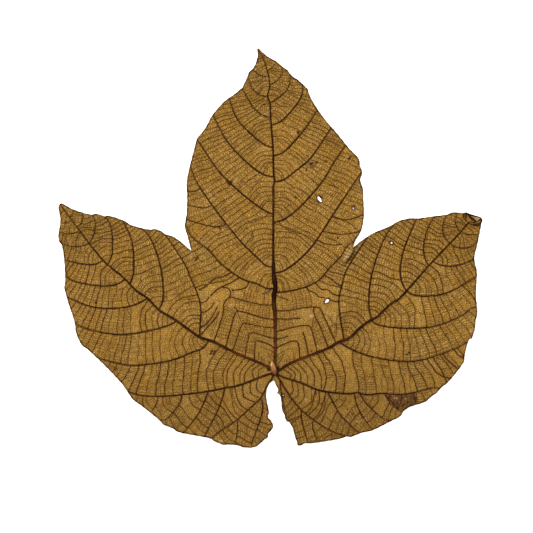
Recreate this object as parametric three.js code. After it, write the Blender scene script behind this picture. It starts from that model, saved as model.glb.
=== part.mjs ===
import * as THREE from 'three';

// A dried three-lobed macaranga leaf, lying with its veined underside up. Millimetres, +Z up.
// Every point below is in the leaf's own frame: (0, 0) is where the leaf stalk met the blade,
// +y runs along the midrib to the middle lobe's tip, and +x is to the right as the leaf is seen.

// Driving sizes
const bladeThickness = 0.7;

// How far apart the points are that the blade is cut into triangles at
const marginStep = 3.4;
const holeStep = 1.6;
const primaryStep = 5;
const secondaryStep = 6.5;
const foldStep = 2.4;
const fillerStep = 7.6;

// The least that points keep from the margin and from each other
const marginClearance = 1.5;
const closestPoints = 0.85;
const closestOnStub = 0.5;
const closestOnSpot = 1.6;
const footClearance = 0.8; // between a rib's crest and its feet, as a share of half its width
const fillerClearance = { fromMargin: 0.42, fromPoints: 0.56 }; // shares of the filler's own step

// Ribs stand up from the blade: width at the base and tip, and height at the base and tip
const midribSize = { baseWidth: 2.6, tipWidth: 1.2, baseHeight: 1.5, tipHeight: 0.4 };
const lateralSize = { baseWidth: 2.4, tipWidth: 1.2, baseHeight: 1.3, tipHeight: 0.4 };
const basalSize = { baseWidth: 2, tipWidth: 1.2, baseHeight: 0.9, tipHeight: 0.35 };
const secondarySize = { baseWidth: 1.6, tipWidth: 1.1, baseHeight: 0.65, tipHeight: 0.3 };

// What is left of the stalk: a short stub that leans over the blade and ends in a slanting cut
const stub = {
  foot: [0.4, 0.2],
  cut: [-2.1, 7.2],
  footWidth: 3.4,
  cutWidth: 2.6,
  height: 2.4,
  flank: 1.1, // how wide its sloping flank is
  flankOutside: 0.5, // how much of the flank lies outside its width
  rim: 0.4, // how far inside its width the row of points round its top runs
};
const stubStations = [0.25, 0.5, 0.75];
const stubTurns = 3; // points on each quarter turn round its end

// Where the blade lies flat on the surface, round its weight
const restingSpots = [
  { centre: [-2, 53], flatRadius: 9 },
  { centre: [-66, 22], flatRadius: 7 },
  { centre: [64, 20], flatRadius: 7 },
  { centre: [1, 128], flatRadius: 7 },
];
const spotFade = 26;
const spotPoints = 10;
const spotInset = 0.1;

// How the dry blade has lifted and puckered
const swell = { height: 2.2, lengthX: 31, lengthY: 37, phaseX: 0.7, phaseY: -0.5 };
const ripple = { height: 0.7, lengthX: 11, lengthY: 14, slantX: 41, slantY: 29 };
const marginLift = { height: 2.2, reach: 13, waveLength: 21, slant: 1.7 };
const lobeTips = [
  { point: [-10.5, 193.8], lift: 5.5, reach: 46 },
  { point: [-128.3, 100.8], lift: 6, reach: 44 },
  { point: [123, 91], lift: 5, reach: 42 },
  { point: [-14, -44], lift: 3.5, reach: 26 },
  { point: [14.5, -42.5], lift: 3, reach: 24 },
];
const pleats = [
  { from: [46.6, 74.6], to: [40.6, 65.4], height: 2.4, halfWidth: 3.2 },
  { from: [-49.8, 72.6], to: [-44.4, 62.2], height: 2, halfWidth: 3.4 },
];
const pleatFade = 0.6;
const foldReach = 5;
const curledTip = { from: [112.8, 98], to: [124.6, 92.6], reach: 4.6, height: 2.6 };

// The margin in its natural stretches, clockwise from the gap where the stalk stood; corners stay sharp
const marginStretches = {
  leftTornEdge: [
    [-1, -4.2], [-3.9, -7.2], [-5.3, -13], [-3.6, -24], [-4.2, -25.2], [-3.6, -27.3], [-2.4, -27.9],
  ],
  leftBasalLobe: [
    [-2.4, -27.9], [-1, -32], [-4, -36.2], [-4.3, -38.2], [-6.4, -39.7], [-11.8, -43.9], [-19, -44.1],
    [-22, -43.1], [-27.5, -42.6], [-30.8, -42.8], [-37.2, -40.4],
  ],
  leftBase: [
    [-37.2, -40.4], [-37.9, -39.5], [-58.4, -35], [-61.2, -33.1], [-66.8, -30.8], [-69.5, -28],
    [-80, -19.5], [-85, -15.9], [-92.2, -5.8], [-112.6, 14.6], [-115.4, 16.5], [-119.1, 24], [-120, 30],
    [-124.2, 43], [-126.5, 51.6],
  ],
  leftLobeOuter: [
    [-126.5, 51.6], [-125.9, 53.6], [-127.5, 76.3], [-129.1, 79], [-129.5, 82], [-128.1, 91.2],
    [-129.1, 99.3], [-128.5, 101.2],
  ],
  leftLobeInner: [
    [-128.5, 101.2], [-127.4, 101.6], [-120.5, 98.1], [-109.5, 95], [-107.4, 95.4], [-104.8, 95.1],
    [-102, 94], [-100.2, 94.4], [-89.8, 91.1], [-87, 89.2], [-75.3, 86.1], [-71.9, 86.4], [-68.2, 85.1],
    [-65.4, 83.2], [-62, 82.3], [-57.5, 79.6], [-50.2, 73.3],
  ],
  middleLobeLeft: [
    [-50.2, 73.3], [-52.8, 83], [-54.1, 87.6], [-53, 96], [-52.7, 106.5], [-52.9, 114.5], [-46.9, 140.4],
  ],
  middleLobeShoulder: [
    [-46.9, 140.4], [-41.6, 147.2], [-38, 154], [-30.4, 162.8], [-24, 167.3], [-19.6, 170.9],
  ],
  middleLobeTipLeft: [
    [-19.6, 170.9], [-16.6, 177.2], [-15.7, 179.7], [-12.6, 183], [-10.4, 189.8], [-10.8, 193.6],
  ],
  middleLobeTipRight: [
    [-10.8, 193.6], [-10.1, 194.1], [-6.6, 191], [-3.2, 188.5], [0.2, 186.7], [5.3, 182.7], [7.5, 181.2],
    [10.2, 177.9], [13.8, 175.5], [19.5, 170.4],
  ],
  middleLobeRight: [
    [19.5, 170.4], [21.2, 165.4], [29.2, 153], [37.5, 143.3], [44.6, 134.5], [50.2, 128.4], [51, 124],
    [52.3, 120.2], [51.1, 115.7], [52.6, 111], [53, 104], [53.3, 94.4], [51.6, 85.4], [47.6, 78.4],
    [46.8, 75],
  ],
  rightLobeInner: [
    [46.8, 75], [49.8, 77.8], [58, 83.5], [68.7, 88.1], [74.4, 91.3], [81.9, 92.9], [84.8, 92.7],
    [94.5, 94], [103, 95.1], [106, 96.3], [112.3, 95.9], [114, 96.3],
  ],
  rightLobeTip: [
    [114, 96.3], [117.5, 94.6], [122.6, 93], [123.6, 91.4], [123.2, 89.6],
  ],
  rightLobeOuter: [
    [123.2, 89.6], [120.5, 75.2], [119.4, 70.5], [119.5, 66.8], [120.9, 61], [120.4, 46.3], [121.2, 36],
    [120.2, 31.5], [119.7, 26.5], [117.9, 20.7],
  ],
  rightNick: [
    [117.9, 20.7], [116.4, 20.2], [113.6, 10], [113.4, 7.2], [103.4, -5.9], [100, -8.5], [97, -11.8],
    [93.3, -14.4], [90.5, -16.9], [80, -20.6], [76.8, -23], [75.2, -25.6], [68.8, -29], [57.5, -34.6],
    [52.6, -35.6], [45, -38.3], [42.8, -38], [40, -39.1], [22, -41.9], [17.2, -41.9],
  ],
  rightBasalCorner: [
    [17.2, -41.9], [16, -43.1], [13.6, -43], [13, -40.9], [11.9, -38], [10, -31.7], [7.5, -28.9],
    [6, -30.1],
  ],
  rightTornEdge: [
    [6, -30.1], [6.8, -28.4], [5.9, -26.9], [5.5, -24.8], [4.3, -22.5], [3.2, -14.2], [1.9, -12.2],
    [0.9, -12.3], [1.8, -10.6], [1.6, -9], [0.4, -7.2], [0, -5.4], [-1, -4.2],
  ],
};

// The primary veins, from the stalk outwards
const primaryVeins = {
  midrib: [
    [0, 0], [0, 32], [-0.6, 47], [0.2, 50.5], [-0.8, 60], [-1, 105], [-1, 112.5], [-0.2, 115], [-0.8, 119],
    [-1.1, 132], [-2.8, 156], [-3.1, 162], [-4.5, 165.8], [-3.2, 172.6], [-6.6, 187], [-10.2, 193.2],
  ],
  leftPrimary: [
    [0, 0], [-4.8, 4], [-22, 11.4], [-38.5, 19.4], [-44.8, 21.4], [-59, 31.3], [-69.8, 38.1],
    [-76.6, 44.9], [-83.5, 49.6], [-89.9, 56.4], [-103.1, 67.7], [-128, 100.7],
  ],
  rightPrimary: [
    [0, 0], [8.4, 5.6], [33, 15.6], [38.5, 18.9], [44.5, 21], [50.5, 26.7], [57.6, 31.9], [61, 33.6],
    [69, 41.2], [74, 44.4], [92, 64.2], [111.2, 84.9], [115.2, 89.8],
  ],
  leftBasal: [
    [0, 0], [-3.7, -0.6], [-22.7, -7.6], [-30.2, -8.9], [-40, -10.9], [-69.8, -14], [-82, -13],
    [-87.6, -11.3],
  ],
  rightBasal: [
    [0, 0], [5.4, -2.5], [16.3, -6], [26, -10.1], [44, -12.3], [49.5, -11.7], [54, -12.8], [65, -12.1],
    [71, -12.8], [80, -12.2], [95, -8.8], [98.5, -9.2],
  ],
  leftLowest: [
    [0, 0], [-4.4, -7], [-8.6, -14.8], [-15.6, -21.4], [-22.7, -27.9], [-34.5, -36], [-38, -39.2],
  ],
  rightLowest: [
    [0, 0], [2.7, -3.6], [6.5, -10.1], [16.3, -22.5], [34, -34.8], [43, -38],
  ],
};

// The secondary veins of each primary, from its base to its tip
const secondaryVeins = {
  midribLeft: [
    [
      [-0.4, 50.7], [-5, 50.8], [-10.6, 53.4], [-20, 56.6], [-33.3, 66.4], [-39, 73], [-50, 82],
      [-52.8, 87.6],
    ],
    [[-0.8, 63.4], [-5, 64.2], [-11, 69.5], [-21.7, 80.2], [-46.5, 113.8], [-51, 124.5]],
    [[-1.2, 95.5], [-6, 97.2], [-31.2, 118.2], [-46.8, 140]],
    [[-0.9, 117.8], [-5, 118.4], [-12, 122.2], [-28, 138], [-37.4, 155]],
    [[-1.3, 135.2], [-6, 136.9], [-19, 147.8], [-23.8, 154.6], [-27.6, 165]],
    [[-2.6, 153.2], [-7, 154.4], [-12, 158], [-20, 170.6]],
    [[-4.5, 165.7], [-9.4, 166.7], [-14, 171], [-16.4, 177.5]],
    [[-4.3, 177.5], [-9.5, 178.2], [-13.6, 182]],
  ],
  midribRight: [
    [[0.3, 48.4], [6, 48.8], [20, 52.3], [27, 56.4], [31.4, 61.7], [39.5, 70.3], [43.3, 76.4], [47.8, 79]],
    [[-0.8, 60], [5, 61.3], [19.6, 73], [37.9, 99.8], [51.9, 120.5]],
    [[-1.2, 90.2], [5, 92], [13.5, 98.2], [28.9, 115.6], [34.5, 125], [42.5, 137]],
    [[-0.2, 114.8], [4.5, 115.6], [13.8, 122.4], [20.5, 128], [34, 147.4]],
    [[-1, 130.2], [4.6, 132.2], [18, 146.7], [25.6, 158.2]],
    [[-2, 148.7], [3.9, 151.2], [15.6, 165.4], [16.8, 172.8]],
    [[-3.1, 161.8], [2.5, 165.3], [7.6, 170.6], [9.3, 178.6]],
    [[-3.2, 172.6], [1, 175], [4, 178.8], [4.9, 183]],
    [[-4.5, 181], [-1, 183.4], [0.4, 186.4]],
  ],
  leftPrimaryInner: [
    [[-45.2, 21.8], [-45, 42], [-51.6, 59.4], [-53.4, 64.2], [-65.6, 83.1]],
    [[-69.6, 38.1], [-67.3, 43.6], [-68.4, 62.5], [-75, 81.6], [-79.4, 86.5]],
    [[-87, 53.4], [-85, 59.4], [-85.8, 79], [-90.8, 91.2]],
    [[-100.2, 65.2], [-97.7, 71.2], [-98.4, 88], [-101.5, 94]],
    [[-111.3, 77.6], [-108.4, 83.6], [-107.6, 89.6], [-108.8, 95]],
    [[-118.5, 87.1], [-115.5, 90.4], [-114.6, 96.2]],
    [[-123, 93.5], [-120.6, 95.6], [-120.3, 98]],
  ],
  leftPrimaryOuter: [
    [[-39.6, 19.6], [-43, 15.2], [-50, 12.3], [-62.2, 7.7], [-86.6, 4.7], [-107, 9.2]],
    [[-59, 31.3], [-63.8, 28.6], [-92, 23.1], [-112, 26.3], [-120, 29.6]],
    [[-76.6, 44.9], [-81.2, 42.1], [-90, 39.5], [-108, 39.4], [-124.9, 45.6]],
    [[-89.9, 56.4], [-94, 53.6], [-102.9, 52.2], [-121, 55.4], [-125.7, 58.6]],
    [[-103.1, 67.7], [-107, 65.4], [-114.9, 65.4], [-126, 67.8]],
    [[-111.5, 77.7], [-116, 76.1], [-122, 76], [-127.8, 77.6]],
    [[-117, 84.9], [-122.5, 83.5], [-128.9, 84.4]],
    [[-121.6, 91.4], [-125, 90], [-128.2, 89.8]],
  ],
  rightPrimaryInner: [
    [[41.2, 19.9], [38.2, 43.5], [40, 52.2], [42.5, 61], [55.6, 82]],
    [[58, 32.2], [56.4, 38], [57.5, 57], [66.4, 82.6], [71.8, 90]],
    [[78.6, 49.3], [75.8, 55], [75, 62], [77, 73.4], [84.8, 92.8]],
    [[92, 64.2], [89.6, 69.6], [89.2, 77], [91.5, 86.6], [95.4, 94]],
    [[104.6, 77.5], [101, 82.4], [100.5, 89], [102.4, 94.8]],
    [[110.8, 84.5], [109, 87.2], [107.7, 90], [107.7, 92.6], [109, 95.4]],
  ],
  rightPrimaryOuter: [
    [[38.3, 18.7], [44, 15.2], [55.8, 10.4], [78, 6.9], [88.5, 8], [110, 15.6], [114.9, 18.6]],
    [[57.4, 31.8], [61, 29.3], [71, 27.3], [94.9, 28], [113, 35.2], [117.4, 38.8], [121.2, 39.8]],
    [[78.7, 49.2], [84, 46.6], [101.4, 47.6], [121, 57.8]],
    [[94.6, 67], [98, 65.1], [104.5, 64.1], [112.3, 65.4], [119.5, 68.6]],
    [[104.8, 77.6], [109, 75.3], [115.8, 75.3], [119, 76.8], [121, 79.4]],
    [[111.1, 84.8], [115, 83], [122, 83]],
  ],
  leftBasalBelow: [
    [[-30.2, -8.9], [-31.2, -14], [-35.7, -25.2], [-42.6, -38.3]],
    [[-39.8, -10.8], [-46, -24.4], [-55.5, -36.2]],
    [[-55.8, -13.1], [-56.8, -17.4], [-65.4, -27.6], [-69.2, -28.2]],
    [[-70, -14], [-71, -18.4], [-74.6, -24]],
  ],
  rightBasalBelow: [
    [[31.3, -11], [39.6, -25.4], [50.6, -36.4]],
    [[47.6, -12], [48.4, -17], [52, -25.2], [58.6, -34.2]],
    [[50.5, -12], [55.3, -18.7], [66, -27.8], [70, -28.6]],
    [[65.6, -12.2], [69, -17.8], [75.8, -23.4]],
  ],
  leftLowestBelow: [
    [[-8.6, -14.8], [-7.5, -18], [-7.8, -24], [-14.2, -42.6]],
    [[-22.7, -27.9], [-22.3, -33], [-23.9, -42]],
  ],
  rightLowestBelow: [
    [[2.7, -3.6], [4, -13.4], [7.1, -28.6]],
    [[15.7, -22], [16, -28], [19.5, -41]],
    [[23, -27.8], [22.4, -32], [25.8, -41.2]],
    [[34, -34.8], [34.2, -39.8]],
  ],
};

// Two holes eaten through the blade
const holes = [
  [[25.8, 106.3], [26.8, 105.3], [27.6, 104.3], [28, 102.6], [27.2, 102.6], [26.3, 103.7], [25.5, 104.5]],
  [[29.9, 41.9], [30.2, 43.2], [30.8, 44.2], [31.8, 44.4], [32.5, 43.6], [31.8, 42.7], [31, 42.2]],
];

// The area that the filler points are laid over
const fillerArea = { left: -135, right: 130, bottom: -46, top: 200 };

// A hair's breadth of unevenness keeps four points from sharing one circle
const nudge = { size: 0.02, ratesX: [91, 57], ratesY: [73, -39] };

// Small helpers
function clamp01(value) {
  return Math.min(1, Math.max(0, value));
}

function mix(a, b, share) {
  return a + (b - a) * share;
}

function easeIn(value) {
  const share = clamp01(value);
  return share * share * (3 - 2 * share);
}

// A smooth curve through the given points, cut into even steps
function smoothLine(points, step) {
  const curve = new THREE.CatmullRomCurve3(points.map(([x, y]) => new THREE.Vector3(x, y, 0)));
  const count = Math.max(1, Math.round(curve.getLength() / step));
  return curve.getSpacedPoints(count).map((point) => [point.x, point.y]);
}

// How far a point is from one straight stretch, and how far along the stretch it is, from 0 to 1
function toStretch([x, y], [ax, ay], [bx, by]) {
  const [dx, dy] = [bx - ax, by - ay];
  const along = clamp01(((x - ax) * dx + (y - ay) * dy) / (dx * dx + dy * dy));
  return { along, distance: Math.hypot(ax + dx * along - x, ay + dy * along - y) };
}

function toLine(point, line) {
  let nearest = { along: 0, distance: Infinity };
  for (let i = 0; i + 1 < line.length; i += 1) {
    const found = toStretch(point, line[i], line[i + 1]);
    if (found.distance < nearest.distance) {
      nearest = { along: (i + found.along) / (line.length - 1), distance: found.distance };
    }
  }
  return nearest;
}

function isInside([x, y], ring) {
  let inside = false;
  ring.forEach(([ax, ay], i) => {
    const [bx, by] = ring[(i + 1) % ring.length];
    if (ay > y !== by > y && x < ax + ((y - ay) * (bx - ax)) / (by - ay)) {
      inside = !inside;
    }
  });
  return inside;
}

// The outline and the holes, as closed rings of points
const outline = Object.values(marginStretches)
  .flatMap((points) => smoothLine(points, marginStep).slice(0, -1));
const holeRings = holes.map((points) => smoothLine([...points, points[0]], holeStep).slice(0, -1));
const closedOutline = [...outline, outline[0]];

function isOnBlade(point) {
  return isInside(point, outline) && !holeRings.some((ring) => isInside(point, ring));
}

// The ribs, from the five primary veins to the secondaries
const primaryRibs = [
  { ...midribSize, line: smoothLine(primaryVeins.midrib, primaryStep) },
  { ...lateralSize, line: smoothLine(primaryVeins.leftPrimary, primaryStep) },
  { ...lateralSize, line: smoothLine(primaryVeins.rightPrimary, primaryStep) },
  { ...basalSize, line: smoothLine(primaryVeins.leftBasal, primaryStep) },
  { ...basalSize, line: smoothLine(primaryVeins.rightBasal, primaryStep) },
  { ...basalSize, line: smoothLine(primaryVeins.leftLowest, primaryStep) },
  { ...basalSize, line: smoothLine(primaryVeins.rightLowest, primaryStep) },
];
const secondaryRibs = Object.values(secondaryVeins)
  .flat()
  .map((points) => ({ ...secondarySize, line: smoothLine(points, secondaryStep) }));
const ribs = [...primaryRibs, ...secondaryRibs];

function ribHeight(point) {
  return ribs.reduce((highest, rib) => {
    const { along, distance } = toLine(point, rib.line);
    const halfWidth = mix(rib.baseWidth, rib.tipWidth, along) / 2;
    const height = mix(rib.baseHeight, rib.tipHeight, along);
    return Math.max(highest, height * clamp01(1 - distance / halfWidth));
  }, 0);
}

function stubHeight(point) {
  const { along, distance } = toStretch(point, stub.foot, stub.cut);
  const halfWidth = mix(stub.footWidth, stub.cutWidth, along) / 2;
  return stub.height * easeIn((halfWidth + stub.flankOutside - distance) / stub.flank);
}

// Height of the blade's lower face over the surface that it lies on
function bladeHeight(point) {
  const [x, y] = point;
  const swellX = Math.sin(x / swell.lengthX + swell.phaseX);
  const swellY = Math.cos(y / swell.lengthY + swell.phaseY);
  const rippleX = Math.sin(x / ripple.lengthX + y / ripple.slantY);
  const rippleY = Math.sin(y / ripple.lengthY - x / ripple.slantX);
  let height = (swell.height * (1 + swellX * swellY)) / 2 + (ripple.height * (1 + rippleX * rippleY)) / 2;

  const fromMargin = toLine(point, closedOutline);
  const wave = (1 + Math.sin((x + marginLift.slant * y) / marginLift.waveLength)) / 2;
  height += marginLift.height * wave * easeIn(1 - fromMargin.distance / marginLift.reach);

  lobeTips.forEach((tip) => {
    const distance = Math.hypot(x - tip.point[0], y - tip.point[1]);
    height += tip.lift * easeIn(1 - distance / tip.reach);
  });
  pleats.forEach((pleat) => {
    const { along, distance } = toStretch(point, pleat.from, pleat.to);
    height += pleat.height * (1 - pleatFade * along) * easeIn(1 - distance / pleat.halfWidth);
  });
  const curl = toStretch(point, curledTip.from, curledTip.to);
  height += curledTip.height * easeIn(1 - curl.distance / curledTip.reach);

  restingSpots.forEach((spot) => {
    const distance = Math.hypot(x - spot.centre[0], y - spot.centre[1]);
    height *= easeIn((distance - spot.flatRadius) / spotFade);
  });
  return height;
}

// The points that the blade is cut into triangles at
const points = [];
const bladeEdges = [];

function isClear(point, distance) {
  return points.every(([x, y]) => Math.hypot(x - point[0], y - point[1]) >= distance);
}

function nudged([x, y]) {
  const [byX, byY] = [nudge.ratesX, nudge.ratesY].map((rates) => Math.sin(rates[0] * x + rates[1] * y));
  return [x + nudge.size * byX, y + nudge.size * byY];
}

function addRing(ring) {
  const first = points.length;
  points.push(...ring);
  ring.forEach((_, i) => bladeEdges.push([first + i, first + ((i + 1) % ring.length)]));
}

function addInside(point, marginGap, closest) {
  const placed = nudged(point);
  const fromEdges = [closedOutline, ...holeRings.map((ring) => [...ring, ring[0]])]
    .map((ring) => toLine(placed, ring).distance);
  if (isOnBlade(placed) && Math.min(...fromEdges) > marginGap && isClear(placed, closest)) {
    points.push(placed);
  }
}

// A row of points along the rib's crest, and one along each of its feet
function addRib(rib) {
  const { line } = rib;
  line.forEach((point) => addInside(point, marginClearance, closestPoints));
  line.forEach(([x, y], i) => {
    const [ax, ay] = line[Math.max(0, i - 1)];
    const [bx, by] = line[Math.min(line.length - 1, i + 1)];
    const length = Math.hypot(bx - ax, by - ay);
    const [across, up] = [-(by - ay) / length, (bx - ax) / length];
    const halfWidth = mix(rib.baseWidth, rib.tipWidth, i / (line.length - 1)) / 2;
    const closest = Math.min(closestPoints, halfWidth * footClearance);
    [-halfWidth, halfWidth].forEach((side) => {
      addInside([x + across * side, y + up * side], marginClearance, closest);
    });
  });
}

function addStub() {
  const [fx, fy] = stub.foot;
  const [cx, cy] = stub.cut;
  const angle = Math.atan2(cy - fy, cx - fx);
  const halfWidth = stub.cutWidth / 2;
  [halfWidth - stub.rim, halfWidth + stub.flankOutside].forEach((radius) => {
    for (let turn = -stubTurns; turn <= stubTurns; turn += 1) {
      const around = angle + (turn * Math.PI) / (2 * stubTurns);
      const point = [cx + radius * Math.cos(around), cy + radius * Math.sin(around)];
      addInside(point, marginClearance, closestOnStub);
    }
    stubStations.forEach((along) => {
      const [x, y] = [mix(fx, cx, along), mix(fy, cy, along)];
      [-radius, radius].forEach((side) => {
        const point = [x - Math.sin(angle) * side, y + Math.cos(angle) * side];
        addInside(point, marginClearance, closestOnStub);
      });
    });
  });
  addInside(stub.cut, marginClearance, closestOnStub);
}

function addRestingSpot({ centre: [x, y], flatRadius }) {
  const reach = flatRadius - spotInset;
  for (let i = 0; i < spotPoints; i += 1) {
    const around = (i * 2 * Math.PI) / spotPoints;
    addInside([x + reach * Math.cos(around), y + reach * Math.sin(around)], marginClearance, closestOnSpot);
  }
}

// Points in a triangular grid over what is left, with closer ones round the pleats and the curled tip
function addFiller(step, wanted) {
  const rowStep = (step * Math.sqrt(3)) / 2;
  const { left, right, bottom, top } = fillerArea;
  for (let row = Math.floor(bottom / rowStep); row * rowStep < top; row += 1) {
    for (let x = left + (row % 2 ? step / 2 : 0); x < right; x += step) {
      const point = [x, row * rowStep];
      if (wanted(point)) {
        addInside(point, step * fillerClearance.fromMargin, step * fillerClearance.fromPoints);
      }
    }
  }
}

function nearFold(point) {
  const folds = [...pleats, curledTip].map((fold) => toStretch(point, fold.from, fold.to).distance);
  return Math.min(...folds) < foldReach;
}

addRing(outline);
holeRings.forEach(addRing);
addStub();
primaryRibs.forEach(addRib);
secondaryRibs.forEach(addRib);
restingSpots.forEach(addRestingSpot);
addFiller(foldStep, nearFold);
addFiller(fillerStep, () => true);

// Delaunay triangles by adding the points from left to right
function circleRound(a, b, c) {
  const [ax, ay] = points[a];
  const [bx, by] = [points[b][0] - ax, points[b][1] - ay];
  const [cx, cy] = [points[c][0] - ax, points[c][1] - ay];
  const twiceArea = 2 * (bx * cy - by * cx);
  const x = (cy * (bx * bx + by * by) - by * (cx * cx + cy * cy)) / twiceArea;
  const y = (bx * (cx * cx + cy * cy) - cx * (bx * bx + by * by)) / twiceArea;
  return { corners: [a, b, c], x: ax + x, y: ay + y, radius: Math.hypot(x, y) };
}

function triangulate() {
  const count = points.length;
  const far = 4000;
  points.push([-far, -far], [far, -far], [0, far]);
  const order = [...Array(count).keys()].sort((a, b) => points[a][0] - points[b][0]);
  let open = [circleRound(count, count + 1, count + 2)];
  const done = [];
  order.forEach((index) => {
    const [x, y] = points[index];
    const rim = new Map();
    const kept = [];
    open.forEach((circle) => {
      if (x - circle.x > circle.radius) {
        done.push(circle);
      } else if (Math.hypot(x - circle.x, y - circle.y) >= circle.radius) {
        kept.push(circle);
      } else {
        circle.corners.forEach((from, i) => {
          const to = circle.corners[(i + 1) % 3];
          if (!rim.delete(`${to},${from}`)) {
            rim.set(`${from},${to}`, [from, to]);
          }
        });
      }
    });
    rim.forEach(([from, to]) => kept.push(circleRound(from, to, index)));
    open = kept;
  });
  points.length = count;
  return [...done, ...open]
    .map((circle) => circle.corners)
    .filter((corners) => Math.max(...corners) < count);
}

// Splits any stretch of the outline that the triangles cross, until they follow all of it
function triangulateToOutline() {
  for (;;) {
    const triangles = triangulate();
    const found = new Set();
    triangles.forEach(([a, b, c]) => {
      [[a, b], [b, c], [c, a]].forEach(([from, to]) => found.add(`${from},${to}`).add(`${to},${from}`));
    });
    const missing = bladeEdges.filter(([from, to]) => !found.has(`${from},${to}`));
    if (missing.length === 0) {
      return triangles;
    }
    missing.forEach((edge) => {
      const [from, to] = edge;
      const middle = points.length;
      points.push([mix(points[from][0], points[to][0], 0.5), mix(points[from][1], points[to][1], 0.5)]);
      bladeEdges[bladeEdges.indexOf(edge)] = [from, middle];
      bladeEdges.push([middle, to]);
    });
  }
}

// Both faces take the same triangles, so the waved faces never cross, and a wall joins them at every rim
function makeBlade() {
  const triangles = triangulateToOutline().filter((corners) => {
    const middle = [0, 1].map((axis) => corners.reduce((sum, i) => sum + points[i][axis] / 3, 0));
    return isOnBlade(middle);
  });
  const count = points.length;
  const lower = points.map((point) => [...point, bladeHeight(point)]);
  const upper = lower.map(([x, y, z]) => {
    const relief = Math.max(ribHeight([x, y]), stubHeight([x, y]));
    return [x, y, z + bladeThickness + relief];
  });

  const unpaired = new Map();
  triangles.forEach(([a, b, c]) => {
    [[a, b], [b, c], [c, a]].forEach(([from, to]) => {
      if (!unpaired.delete(`${to},${from}`)) {
        unpaired.set(`${from},${to}`, [from, to]);
      }
    });
  });
  const faces = triangles.flatMap(([a, b, c]) => [[a + count, b + count, c + count], [c, b, a]]);
  unpaired.forEach(([from, to]) => {
    faces.push([from, to, to + count], [from, to + count, from + count]);
  });

  const geometry = new THREE.BufferGeometry();
  geometry.setAttribute('position', new THREE.Float32BufferAttribute([...lower, ...upper].flat(), 3));
  geometry.setIndex(faces.flat());
  geometry.computeVertexNormals();
  return geometry;
}

const blade = new THREE.Mesh(
  makeBlade(),
  new THREE.MeshStandardMaterial({ color: 0x9a7230, roughness: 0.78, metalness: 0 }),
);
blade.name = 'leaf';

// The part's origin is under the middle of the leaf's box
blade.geometry.computeBoundingBox();
const middle = blade.geometry.boundingBox.getCenter(new THREE.Vector3());
blade.position.set(-middle.x, -middle.y, 0);

const macarangaLeaf = new THREE.Group();
macarangaLeaf.add(blade);

export default macarangaLeaf;
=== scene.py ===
# Dried macaranga leaf, veined underside up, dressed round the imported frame
import math

import bpy
import numpy as np
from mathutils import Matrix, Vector, geometry, kdtree


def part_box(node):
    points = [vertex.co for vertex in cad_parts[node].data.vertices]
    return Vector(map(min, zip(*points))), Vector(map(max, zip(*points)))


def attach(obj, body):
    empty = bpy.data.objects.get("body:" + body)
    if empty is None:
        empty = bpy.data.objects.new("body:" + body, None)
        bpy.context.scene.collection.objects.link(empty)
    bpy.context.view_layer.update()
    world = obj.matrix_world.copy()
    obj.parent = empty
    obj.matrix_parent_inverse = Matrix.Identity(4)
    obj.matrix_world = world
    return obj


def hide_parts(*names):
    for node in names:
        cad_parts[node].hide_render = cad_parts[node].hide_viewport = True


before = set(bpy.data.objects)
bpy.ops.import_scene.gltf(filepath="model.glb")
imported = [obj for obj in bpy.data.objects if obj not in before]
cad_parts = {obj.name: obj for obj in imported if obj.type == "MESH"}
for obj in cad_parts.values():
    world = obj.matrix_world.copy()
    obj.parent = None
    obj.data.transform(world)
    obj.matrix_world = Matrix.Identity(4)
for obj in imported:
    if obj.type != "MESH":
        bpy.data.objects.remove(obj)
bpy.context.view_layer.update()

mm = 0.001  # sizes are in millimetres where no other unit is given, and newPiece makes metres of them
leafLow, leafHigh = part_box("leaf")  # the leaf node's corners at rest, in metres

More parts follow.
